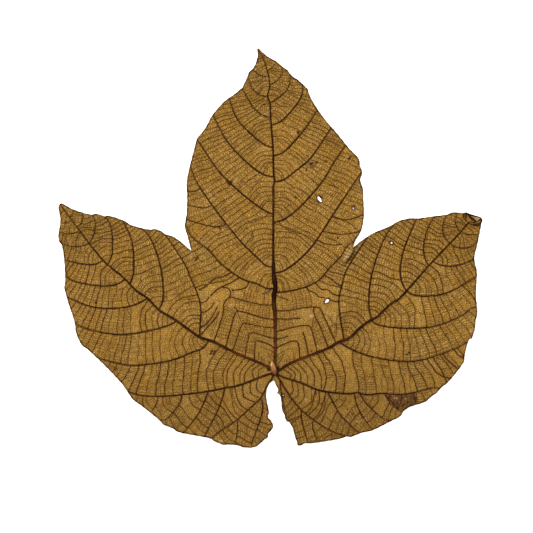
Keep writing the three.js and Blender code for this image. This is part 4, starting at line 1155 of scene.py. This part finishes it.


# Blemishes: place, half length and half width in millimetres, turn in degrees, strength
stainsAndShadows = [
    [13.9, 144.3, 0.8, 1.6, -10, 0.85], [22.6, 124.6, 3.6, 1.2, 38, 0.3],
    [18.9, 122.2, 1.5, 0.45, 60, 0.95], [21.9, 125.5, 1.2, 0.7, 50, 1],
    [25.2, 126.4, 1.1, 0.5, 10, 0.8], [30.6, 127, 0.9, 0.7, 0, 0.7], [19.7, 130.5, 0.8, 0.7, 0, 0.6],
    [44.6, 128.9, 1.5, 0.5, 50, 0.95], [-27, 114, 2, 1.2, 20, 0.85], [-28.6, 115, 1.2, 0.8, 0, 0.6],
    [-6.6, 161, 0.9, 0.7, 0, 0.5], [-11.5, 118.2, 0.8, 0.6, 0, 0.5], [35.1, 112.3, 0.9, 0.7, 0, 0.6],
    [12.3, 105.3, 0.8, 0.8, 0, 0.8], [-9.9, 108.2, 0.6, 0.6, 0, 0.4], [1.4, 108.4, 0.6, 0.6, 0, 0.4],
    [-33.2, 87.1, 1.4, 1.1, 0, 0.5], [-33.6, 82.9, 0.9, 0.8, 0, 0.4], [-13.7, 83.1, 1.5, 1.3, 0, 0.45],
    [37.6, 81.2, 0.9, 0.6, 40, 0.8], [15.9, 64, 0.7, 0.6, 0, 0.4], [-120.9, 78.5, 0.8, 0.7, 0, 0.5],
    [-107.4, 42.2, 0.9, 0.7, 0, 0.7], [-75.6, 48.5, 0.8, 0.6, 0, 0.6], [-71.6, 49.9, 0.7, 0.6, 0, 0.5],
    [-71.3, 78.6, 0.8, 0.7, 0, 0.6], [-98.8, 17.9, 0.7, 0.6, 0, 0.5], [-95.3, 2.3, 1.3, 1.1, 0, 0.4],
    [-55.7, 17.2, 0.7, 0.6, 0, 0.5], [-85.6, -5.8, 0.7, 0.6, 0, 0.5], [-60.4, -4.5, 0.7, 0.6, 0, 0.5],
    [-56.8, -4.5, 0.7, 0.6, 0, 0.5], [-38, 13.3, 0.8, 0.65, 20, 1], [-36.2, 13.2, 0.8, 0.65, 0, 1],
    [-38.6, 11.6, 0.75, 0.65, 0, 1], [-36.6, 11.4, 0.8, 0.65, 0, 1], [-37.3, 12.4, 1.3, 1, 0, 0.5],
    [34.5, 55.9, 0.7, 0.6, 0, 0.5], [23.6, 39.3, 0.7, 0.6, 0, 0.6], [80.5, 12.3, 0.8, 0.65, 0, 1],
    [79.1, 11.1, 1, 0.5, 30, 1], [75, 19, 0.7, 0.6, 0, 0.5], [88.9, 17.7, 0.7, 0.6, 0, 0.5],
    [58.8, -2.1, 0.7, 0.6, 0, 0.5], [105.2, 37.8, 0.7, 0.6, 0, 0.5], [82.4, -2, 1.6, 0.8, 30, 0.35],
    [102.7, 23.4, 0.6, 0.6, 0, 0.4], [70.4, 58.8, 0.6, 0.6, 0, 0.4], [84.2, 68.8, 0.6, 0.6, 0, 0.4],
    [47, 100.1, 1.2, 0.8, 0, 0.6], [70.9, 78, 0.6, 0.9, 0, 0.7], [26.8, 104.5, 1.9, 2.9, 0, 0.45],
    # painted shadow: the first and the last marks on the next line lie on the shaded sides of the two pleats
    [-46.9, 68.6, 1.9, 1, 60, 0.6], [-39.3, 61.1, 1, 0.8, 0, 0.5], [44.6, 68.6, 4.6, 0.9, 56, 0.55],
    # painted shadow: the last two marks on the next line and all three on the line after are the near-black
    # shade round the stalk's stub
    [75.9, -14.8, 0.9, 0.6, 0, 0.6], [-3.9, 2.9, 1.9, 1.1, 85, 1], [-3.4, 6.4, 0.7, 1.4, -10, 0.45],
    [1.6, 3, 1.9, 1, 60, 1], [1.2, -0.2, 1.2, 0.8, 10, 0.9], [-1, -1.4, 1, 0.6, 0, 0.8],
    [68.4, -14.6, 1.6, 0.8, 10, 0.5], [71.2, -18.8, 1.1, 0.7, -40, 0.7], [73.4, -18, 0.6, 0.8, 0, 0.7],
    [77, -19.3, 0.9, 0.5, 45, 0.6], [79.5, -17.6, 0.6, 0.6, 0, 0.7], [83.6, -11.5, 0.7, 0.6, 0, 0.7],
    [84, -15.4, 1.5, 1.4, 0, 0.45], [73.2, -20.8, 0.9, 0.6, 0, 0.7], [81.6, -14.1, 0.8, 0.5, 0, 0.4],
    [85, -12.9, 0.5, 0.8, 0, 0.5], [68.9, -16.2, 5.2, 0.4, -44, 0.6],
    [75.2, -16.6, 2.6, 0.35, -62, 0.5], [38.9, 131.5, 0.7, 0.5, 50, 0.8],
    [-74.1, 60.5, 1.4, 1, 0, 0.35], [-86, 73.2, 1.8, 1.1, 20, 0.25], [76.8, -18.9, 1.1, 0.35, 42, 0.7],
    [81.4, -19, 1.5, 0.7, 0, 0.6], [24.5, -11.9, 0.45, 1.2, 10, 0.7], [29.8, -14.7, 0.45, 1, 0, 0.6],
    [46.9, -24.2, 0.8, 0.5, 40, 0.6], [40.3, -18.9, 0.6, 0.5, 0, 0.55],
    [43.4, -21.8, 0.6, 0.5, 0, 0.55], [42.1, -3.3, 0.5, 0.4, 0, 0.5], [-14.7, -11.6, 0.7, 0.55, 0, 0.6],
    [-7.5, -23.2, 0.6, 0.9, -15, 0.95], [21.8, 13.4, 0.4, 1.3, 15, 0.6],
    [-20.8, -23.4, 0.5, 0.5, 0, 0.5],
]
paleSpotsAndHighlights = [
    [-108, 13.1, 1.6, 0.5, 40, 0.7], [-80.7, 9.3, 0.8, 0.7, 0, 0.7], [-77.4, 1.5, 0.8, 0.6, 0, 0.6],
    [-76.6, -2.3, 0.7, 0.6, 0, 0.6], [-51.4, 0.9, 1.8, 1.2, 0, 0.2], [-34.4, 41.9, 1, 0.8, 0, 0.7],
    [-26.9, 40.4, 1, 0.8, 0, 0.6], [21.6, 34.1, 0.9, 0.8, 0, 0.8], [49.9, -28.8, 1, 0.8, 0, 0.7],
    # painted highlight: the last two marks on the next line and the first on the line after lie on the lit
    # sides of the two pleats
    [-32.2, -40.4, 1.2, 0.7, 0, 0.6], [43.4, 70.8, 4.2, 1.2, 50, 0.8], [-50.2, 70, 3.2, 0.4, 88, 0.9],
    [-44.4, 66, 2.6, 0.6, 133, 0.6], [72.5, -15.2, 0.8, 0.65, 0, 0.85], [78.3, -15.2, 0.5, 0.4, 0, 0.7],
    [70.4, -13.1, 0.5, 0.4, 0, 0.5], [22.5, -11.8, 0.7, 0.8, 0, 0.45], [18.6, -15.9, 1, 0.8, 0, 0.35],
    [22.6, 125.4, 1.6, 0.35, 38, 0.5], [20.4, 122.6, 1.4, 0.3, 60, 0.45],
    [43.6, 129.7, 1.6, 0.4, 50, 0.7],
]
rustMarks = [
    [-6.1, -23.2, 1, 0.85, 0, 0.9], [72.1, -14.5, 1.1, 1.3, 0, 0.5], [21.4, 125, 3.6, 1.3, 38, 0.28],
    [26.6, 104.2, 2.1, 1.9, -60, 0.3], [51.2, 121.2, 0.6, 1.3, 0, 0.5], [47, 97.4, 0.7, 0.8, 0, 0.5],
]
paintedShadePatches = [  # painted shade: broad and faint darker patches
    [-84, 44, 46, 34, -30, 0.16], [0, 22, 34, 26, 0, 0.27], [44, -18, 44, 20, 0, 0.2],
    [116, 84, 18, 22, 0, 0.3], [-118, 78, 12, 18, 0, 0.2],
]
necroses = [
    [36, 139.5, 8, 4, -50, 0.35], [18, 162, 2, 4, 20, 0.3],
]
deadCorner = [  # outline of the dead patch by the lower right margin
    [65.6, -13], [72, -12.2], [84.4, -11.6], [85.4, -14.6], [87, -18.4], [76, -24], [72.6, -21],
]


def markedAt(points, marks, sharpness=3):
    total = np.zeros(len(points))
    for x, y, length, width, turn, strength in marks:
        angle = math.radians(turn)
        away = points - [x, y]
        across = away @ np.array([-math.sin(angle), math.cos(angle)])
        along = away @ np.array([math.cos(angle), math.sin(angle)])
        ragged = 1 + 0.25 * unevenness(np.arctan2(across, along) * 2, x)
        reach = np.hypot(along / length, across / width) / ragged
        total = np.maximum(total, strength * np.exp(-(reach**sharpness)))
    return total


def gridPoints(step):
    low, high = outline.min(axis=0), outline.max(axis=0)
    rows = np.arange(low[1], high[1], step * math.sqrt(3) / 2)
    columns = np.arange(low[0], high[0], step)
    points = np.array([[x + (step / 2 if row % 2 else 0), y] for row, y in enumerate(rows) for x in columns])
    random = np.random.default_rng(7)
    points += random.uniform(-0.08, 0.08, points.shape)
    return points[insideBlade(points)]


def closeGrids(marks, step):  # a finer grid of points in and just round each blemish
    found = []
    for x, y, length, width, turn, strength in marks:
        angle = math.radians(turn)
        ways = np.array([[math.cos(angle), math.sin(angle)], [-math.sin(angle), math.cos(angle)]])
        sizes = [np.arange(-1.5 * half, 1.5 * half + step, step) for half in (length, width)]
        found.append(np.column_stack([values.ravel() for values in np.meshgrid(*sizes)]) @ ways + [x, y])
    return np.concatenate(found)


def thinned(points, taken, gap):  # the points that stand clear of those already taken
    return points[gapsTo(treeOf(taken), points) > gap]


def inDeadCorner(points):  # full strength inside its outline, fading over a millimetre
    edge = np.vstack([deadCorner, deadCorner[:1]])
    middle = np.mean(deadCorner, axis=0)
    inside = np.ones(len(points))
    for start, end in zip(edge, edge[1:]):
        normal = np.array([start[1] - end[1], end[0] - start[0]]) / np.linalg.norm(end - start)
        normal *= np.sign(normal @ (middle - start))
        wave = 0.4 * unevenness(points[:, 0] * 1.3, 2)
        inside = np.minimum(inside, easeIn((points - start) @ normal + wave + 0.4))
    return inside


def nearestMark(lines, marks, points):  # how far the nearest of the lines is, and its mark there
    tree, marks = treeOf(np.concatenate(lines)), np.concatenate(marks)
    found = [tree.find((x, y, 0)) for x, y in points]
    return np.array([gap for place, index, gap in found]), marks[[index for place, index, gap in found]]


def makeBlade(tissueMaterial, skinMaterial, markedRungs):
    rings = [outline] + holeRings
    edges, count = [], 0
    for ring in rings:
        edges += [[count + i, count + (i + 1) % len(ring)] for i in range(len(ring))]
        count += len(ring)
    rim = np.concatenate([evenSteps(np.vstack([ring, ring[:1]]), 0.25) for ring in rings])
    flat = np.vstack(rings)
    veins = np.concatenate([evenSteps(line, blade["veinStep"]) for line in veinLines])
    crossing = np.concatenate([evenSteps(line, blade["veinStep"]) for line, strength in markedRungs])
    spots = closeGrids(stainsAndShadows + paleSpotsAndHighlights + rustMarks, blade["markGrid"])
    grid = gridPoints(blade["grid"])
    for layer, gap in ((veins, 0.35), (crossing, 0.4), (spots, 0.28), (grid, blade["grid"] * 0.5)):
        layer = layer[insideBlade(layer)]
        layer = thinned(layer, rim, 0.3)
        flat = np.vstack([flat, thinned(layer, flat, gap)])
    insideOnly, tolerance = 1, 1e-5
    result = geometry.delaunay_2d_cdt([Vector(point) for point in flat], edges, [], insideOnly, tolerance)
    points = np.array([list(point) for point in result[0]])
    triangles = np.array(result[2])
    triangles = triangles[insideBlade(points[triangles].mean(axis=1))]
    a, b, c = (points[triangles[:, corner]] for corner in range(3))
    turned = (b - a)[:, 0] * (c - a)[:, 1] - (b - a)[:, 1] * (c - a)[:, 0] < 0
    triangles[turned] = triangles[turned][:, ::-1]
    used = np.unique(triangles)
    places = np.full(len(points), -1)
    places[used] = np.arange(len(used))
    points, triangles = points[used], places[triangles]

    marginGap = gapsTo(treeOf(rim), points)
    holeTree = treeOf(np.concatenate([evenSteps(ring, 0.25) for ring in holeRings]))
    rungPoints = [evenSteps(line, 0.3) for line, strength in markedRungs]
    strengths = []
    for steps, (line, strength) in zip(rungPoints, markedRungs):
        strengths.append(alongShares(np.linspace(0, 1, len(steps)), strength))
    rungGap, rungStrength = nearestMark(rungPoints, strengths, points)
    sizes = []
    for line in veinLines:
        sizes.append(np.full(len(line), min(1, lengthsAlong(line)[-1] / sideVeins["fullLength"])))
    veinGap, veinSize = nearestMark(veinLines, sizes, points)
    quilt = blade["rungQuiltDepth"] * (1 - np.exp(-rungGap / 0.7)) * easeIn(marginGap / 2)
    lower = np.maximum(quiltedFace(points) - quilt, 0)
    stainedAndShaded = 1 - (1 - markedAt(points, stainsAndShadows, 6)) ** 1.7  # light mixes as light, so a dark mark needs more
    values = {
        "veinShade": veinSize * easeIn((0.8 - veinGap) / 0.6),
        "rungShade": (0.1 + 0.9 * rungStrength) * easeIn(1 - rungGap / 0.6),
        "marginGap": marginGap,
        "stainAndShadow": np.maximum(stainedAndShaded, easeIn(1.2 - gapsTo(holeTree, points) / 0.7)),
        "pale": markedAt(points, paleSpotsAndHighlights),
        "rust": markedAt(points, rustMarks),
        "paintedShade": markedAt(points, paintedShadePatches, 2),
        "necrosis": np.maximum(markedAt(points, necroses), inDeadCorner(points)),
    }
    values = {name: np.tile(numbers, 2) for name, numbers in values.items()}
    vertices, faces = sheetOf(points, lower, blade["thickness"], triangles.tolist())
    half = len(triangles)
    faceMaterial = [0] * half + [1] * half + [0] * (len(faces) - 2 * half)  # the edge is tissue too
    newPiece("bladeTissue", vertices, faces, [tissueMaterial, skinMaterial], values, faceMaterial)


# What is left of the stalk: a stub that leans over the blade, cut off at a slant
stub = {
    "foot": [0.15, -1.1],
    "tip": [-2.1, 7.5],
    "halfWidths": [0.35, 1.25, 1.6, 1.52, 1.3, 0.95, 0.3],  # from the foot to the tip
    "heights": [0.9, 1.9, 2.35, 2.4, 2.2, 1.7, 0.9],
    "rind": 0.2,  # share of the half width that the bark takes on the cut
    "dish": 0.25,
    "stations": 30,
    "pithHighlightMarks": [  # painted highlight, pale as pith, on the upper left of the cut; as the blemishes above
        [-2.5, 5.1, 1, 0.55, 70, 1], [-2.7, 3.3, 0.6, 0.3, 80, 0.7], [-1.9, 6.3, 0.7, 0.4, 70, 0.4],
    ],
    "cut": "935f20",
    "pithHighlight": "f0cf88",
    "shade": "693515",
    "bark": "3a1d10",
    "grainSize": 0.5,
    "roughness": 0.5,
    "gloss": 0.3,
}


def cutStalk():  # woody stalk cut with a blade: a painted highlight, pale as pith, on the upper left of the cut, painted shade down the cut towards its foot, reddish bark round it
    material, tree, shader, place = newMaterial("cut stalk wood", stub["roughness"], stub["gloss"])
    marks = marksOn(tree, ["along", "pithHighlight", "bark"])
    fine = blotches(tree, place, stub["grainSize"], 2, 0.3, 0.7)
    lit = add(tree, "MapRange", [marks["along"], 0.08, 0.55], **eased)
    layers = [
        [lit, 1, stub["cut"]],
        # painted highlight on the cut's upper left
        [marks["pithHighlight"], 1, stub["pithHighlight"]],
        [fine, 0.18, stub["shade"]],
        [marks["bark"], 1, stub["bark"]],
    ]
    paint(tree, shader, stub["shade"], layers)
    carve(tree, shader, fine, 0.4, 0.08)
    return material


def makeStub(material):
    share = np.linspace(0, 1, stub["stations"])
    foot, tip = np.array(stub["foot"]), np.array(stub["tip"])
    line = foot + share[:, None] * (tip - foot)
    half, height = alongShares(share, stub["halfWidths"]), alongShares(share, stub["heights"])
    side = normalsOf(line)
    ground = topOf(line)
    flank = [  # from the blade up to the cut's middle: share of the half width, of the height, bark, dish
        [1.12, -0.1, 1, 0], [1.1, 0.35, 1, 0], [1.04, 0.8, 1, 0], [1, 1, 0.9, 0],
        [1 - stub["rind"], 1.02, 0.15, 0.3], [0.45, 1, 0, 0.9],
    ]
    mirrored = [[-across, up, dark, dish] for across, up, dark, dish in reversed(flank)]
    rings, bark = [], []
    for across, up, dark, dish in flank + [[0, 1, 0, 1]] + mirrored:
        flat = line + side * (across * half)[:, None]
        top = ground + up * height - dish * stub["dish"] * np.sin(math.pi * share)
        rings.append(np.column_stack([flat, top]))
        bark.append(np.full(len(share), dark))
    rings = np.stack(rings, 1)
    pithHighlight = markedAt(rings.reshape(-1, 3)[:, :2], stub["pithHighlightMarks"])
    values = {"bark": [np.stack(bark, 1)], "along": [np.repeat(share, len(bark))], "pithHighlight": [pithHighlight]}
    newTubes("stalkStub", [rings], material, values)


# The tip of the right lobe is folded over: a small flap that shows the upper skin
flap = {
    "corners": [[114.3, 95.6], [122.7, 92.9], [120.2, 90.5]],  # fold line, then the free point
    "foldLine": [
        [113.5, 96.1], [115.4, 95.1], [117.6, 94.3], [120.2, 93.6], [122.2, 93], [123, 92], [123.2, 90.6],
    ],
    "innerEdge": [[114.8, 95.2], [116.2, 93.2], [118.4, 91.7], [120.1, 90.4]],
    "outerEdge": [[120.5, 90.7], [121.6, 91.7], [122.5, 92.7]],
    "foldRib": {"width": [0.6, 1, 1, 0.8, 0.5], "height": [0.8, 1.3, 1.4, 1.1, 0.4], "redness": [0, 0, 0]},
    "edgeRib": {"width": [0.5, 0.85, 0.8], "height": [1, 1.5, 1.3], "redness": [0, 0, 0]},
    "palest": [121, 91.8, 1.2, 0.35, 43, 0.95],  # as the blemishes above
    "rimWidth": 0.45,
    "lift": 0.9,
    "thickness": 0.3,
    "steps": 16,
    "skin": "b08d5c",
    "patch": "8f6d43",
    "pale": "d9cbb2",
    # the free edges' own dark rim, with painted shadow of the gap beneath them
    "rim": "1c0e07",
    "patchSize": 1.6,
    "roughness": 0.7,
    "gloss": 0.15,
}


def foldedSkin():  # the same dry skin seen from its pale inner side, with a dark curled edge; the dark along its free edges is partly its own rim and partly painted shadow of the gap beneath
    material, tree, shader, place = newMaterial("folded dry skin", flap["roughness"], flap["gloss"])
    marks = marksOn(tree, ["pale", "rim"])
    patches = blotches(tree, place, flap["patchSize"], 2, 0.3, 0.7)
    layers = [[patches, 1, flap["patch"]], [marks["pale"], 1, flap["pale"]], [marks["rim"], 1, flap["rim"]]]
    paint(tree, shader, flap["skin"], layers)
    return material


def makeFlap(material, veinMaterial):
    start, end, point = (np.array(corner) for corner in flap["corners"])
    steps = flap["steps"]
    grid = {}
    flat, lifts = [], []
    for row in range(steps + 1):  # rows run from the fold line to the free point
        for column in range(steps + 1 - row):
            grid[row, column] = len(flat)
            down = row / steps
            flat.append(start + (end - start) * column / steps + (point - start) * down)
            lifts.append(0.1 + flap["lift"] * math.sin(math.pi * (0.1 + 0.8 * down)))
    flat = np.array(flat)
    triangles = []
    for row in range(steps):
        for column in range(steps - row):
            triangles.append([grid[row, column], grid[row + 1, column], grid[row, column + 1]])
            if column < steps - row - 1:
                triangles.append([grid[row, column + 1], grid[row + 1, column], grid[row + 1, column + 1]])
    places, faces = sheetOf(flat, topOf(flat) + np.array(lifts), flap["thickness"], triangles)
    edgeGap = np.minimum(toStretch(flat, start, point)[1], toStretch(flat, end, point)[1])
    values = {
        "rim": np.tile(np.clip(1.3 - edgeGap / flap["rimWidth"], 0, 1), 2),
        "pale": np.tile(markedAt(flat, [flap["palest"]]), 2),
    }
    newPiece("foldedTip", places, faces, [material], values)
    fold, edge = flap["foldRib"], flap["edgeRib"]
    lines = [(flap["foldLine"], fold), (flap["innerEdge"], edge), (flap["outerEdge"], edge)]
    makeRibs("foldedEdge", lines, 9, veinMaterial)


# Fine things that lie on the leaf
fibres = {
    "lines": [
        [[-8, 154.4], [-4.6, 156], [-2, 157.2], [0.4, 159.3]],
        [[-19.9, 141.1], [-18.6, 143.6], [-17.4, 145.4], [-15.7, 147.7]],
    ],
    "halfWidth": 0.1,
    "height": 0.15,  # over the blade
    "sides": 5,
    "colour": "d8c8a4",
}
hairs = {
    "count": 900,
    "length": 0.55,
    "halfWidth": 0.022,  # a little thicker than real ones, so that they show
    "furthest": 1.1,  # from the middle of a vein
    "colour": "a5824f",
    "roughness": 0.6,
    "gloss": 0.2,
}


def palePlantHair(name, colour):  # thin, dull and straw-pale
    material, tree, shader, place = newMaterial(name, hairs["roughness"], hairs["gloss"])
    tone = add(tree, "TexNoise", {"Vector": place, "Scale": 1 / 0.8, "Detail": 1})
    paint(tree, shader, colour, [[tone, 1, tissue["light"]]])
    return material


def makeFibres(material):
    tubes = []
    for points in fibres["lines"]:
        line = smoothLine(points, 0.5)
        tubes.append(tubeAround(line, topOf(line) + fibres["height"], fibres["halfWidth"], fibres["sides"]))
    newTubes("lintFibres", tubes, material)


def makeHairs(material):  # short stiff hairs along the great veins, closest near the stalk
    random = np.random.default_rng(5)
    lines = [smoothLine(points, 0.4) for points in primaryVeins.values()]
    far = hairs["furthest"]
    roots, ends = [], []
    for index in range(hairs["count"]):
        line = lines[random.integers(len(lines))]
        roots.append(line[int(len(line) * random.random() ** 1.6 * 0.9)] + random.uniform(-far, far, 2))
        lean = random.uniform(0, 2 * math.pi)
        ends.append([math.cos(lean), math.sin(lean)])
    roots, ends = np.array(roots), np.array(ends)
    good = insideBlade(roots)
    roots, ends = roots[good], ends[good]
    base = topOf(roots) - 0.1
    wide = hairs["halfWidth"]
    across = np.column_stack([-ends[:, 1], ends[:, 0]])
    foot = [roots + across * wide, roots - across * wide, roots + ends * wide * 1.6]
    corners = [np.column_stack([place, base]) for place in foot]
    tips = roots + ends * hairs["length"] * 0.6
    corners.append(np.column_stack([tips, base + 0.1 + hairs["length"] * 0.8]))
    places = np.stack(corners, 1).reshape(-1, 3)
    pattern = np.array([[0, 1, 2], [0, 3, 1], [1, 3, 2], [2, 3, 0]])
    faces = (pattern[None] + 4 * np.arange(len(roots))[:, None, None]).reshape(-1, 3).tolist()
    newPiece("veinHairs", places, faces, [material])


# Floor, light and camera
stage = {
    "floor": "f7f7f7",
    "floorGlow": 0.8,  # a lit table, so the leaf hardly shades it
    "floorHalf": 3,  # metres
    "floorDrop": 0.05,
    "photoWidth": 319.8,  # millimetres that the picture is wide at the leaf
    "pictureMiddle": [-5.1, 63.9],  # in the leaf's own frame
    "cameraHeight": 1.5,  # metres
    "worldStrength": 0.8,
    "keyPower": 16,  # watts
    "keySize": 0.9,  # metres
    "keyPlace": [-0.5, 0.7, 1.05],  # metres
}


def makeFloor():  # matt card, lit from below and plain white
    mesh = bpy.data.meshes.new("paleFloor")
    half = stage["floorHalf"]
    corners = [(-half, -half, 0), (half, -half, 0), (half, half, 0), (-half, half, 0)]
    mesh.from_pydata(corners, [], [[0, 1, 2, 3]])
    floor = bpy.data.objects.new("paleFloor", mesh)
    floor.location.z = -stage["floorDrop"] * mm
    bpy.context.scene.collection.objects.link(floor)
    material, tree, shader, place = newMaterial("plain white card", 0.95, 0)
    shader.inputs["Base Color"].default_value = srgb(stage["floor"])
    shader.inputs["Emission Color"].default_value = (1, 1, 1, 1)
    shader.inputs["Emission Strength"].default_value = stage["floorGlow"]
    mesh.materials.append(material)


def makeLights():
    world = bpy.data.worlds.new("softRoom")
    world.use_nodes = True
    background = world.node_tree.nodes["Background"]
    background.inputs["Color"].default_value = (1, 1, 1, 1)
    background.inputs["Strength"].default_value = stage["worldStrength"]
    bpy.context.scene.world = world
    key = bpy.data.lights.new("windowSide", "AREA")
    key.energy = stage["keyPower"]
    key.size = stage["keySize"]
    lamp = bpy.data.objects.new("windowSide", key)
    lamp.location = stage["keyPlace"]
    lamp.rotation_euler = (-Vector(stage["keyPlace"])).to_track_quat("-Z", "Y").to_euler()
    bpy.context.scene.collection.objects.link(lamp)


def makeCamera():  # straight above, as on a copy stand
    camera = bpy.data.cameras.new("copyStand")
    camera.sensor_width = 36
    camera.lens = camera.sensor_width * stage["cameraHeight"] / (stage["photoWidth"] * mm)
    stand = bpy.data.objects.new("copyStand", camera)
    x, y = (np.array(stage["pictureMiddle"]) + toFrame) * mm
    stand.location = (x, y, stage["cameraHeight"])
    bpy.context.scene.collection.objects.link(stand)
    bpy.context.scene.camera = stand
    bpy.context.scene.view_settings.view_transform = "Standard"
    bpy.context.scene.view_settings.look = "None"


makeFloor()
makeLights()
makeCamera()
print("stage ready")
tissueMaterial, skinMaterial = dryTissue(), drySkin()
veinMaterial, rungMaterial = driedVein(), driedRung()
markedRungs = makeRungs(rungMaterial)
smallVeins = [points for group in secondaryVeins.values() for points in group]
makeRibs("mainVeins", [(points, mainVeins[name]) for name, points in primaryVeins.items()], 9, veinMaterial)
makeRibs("sideVeins", [(points, sideVeinSize(points)) for points in smallVeins], 7, veinMaterial)
makeBlade(tissueMaterial, skinMaterial, markedRungs)
makeStub(cutStalk())
makeFlap(foldedSkin(), veinMaterial)
makeFibres(palePlantHair("lint fibre", fibres["colour"]))
makeHairs(palePlantHair("dry plant hair", hairs["colour"]))
print("leaf dressed")
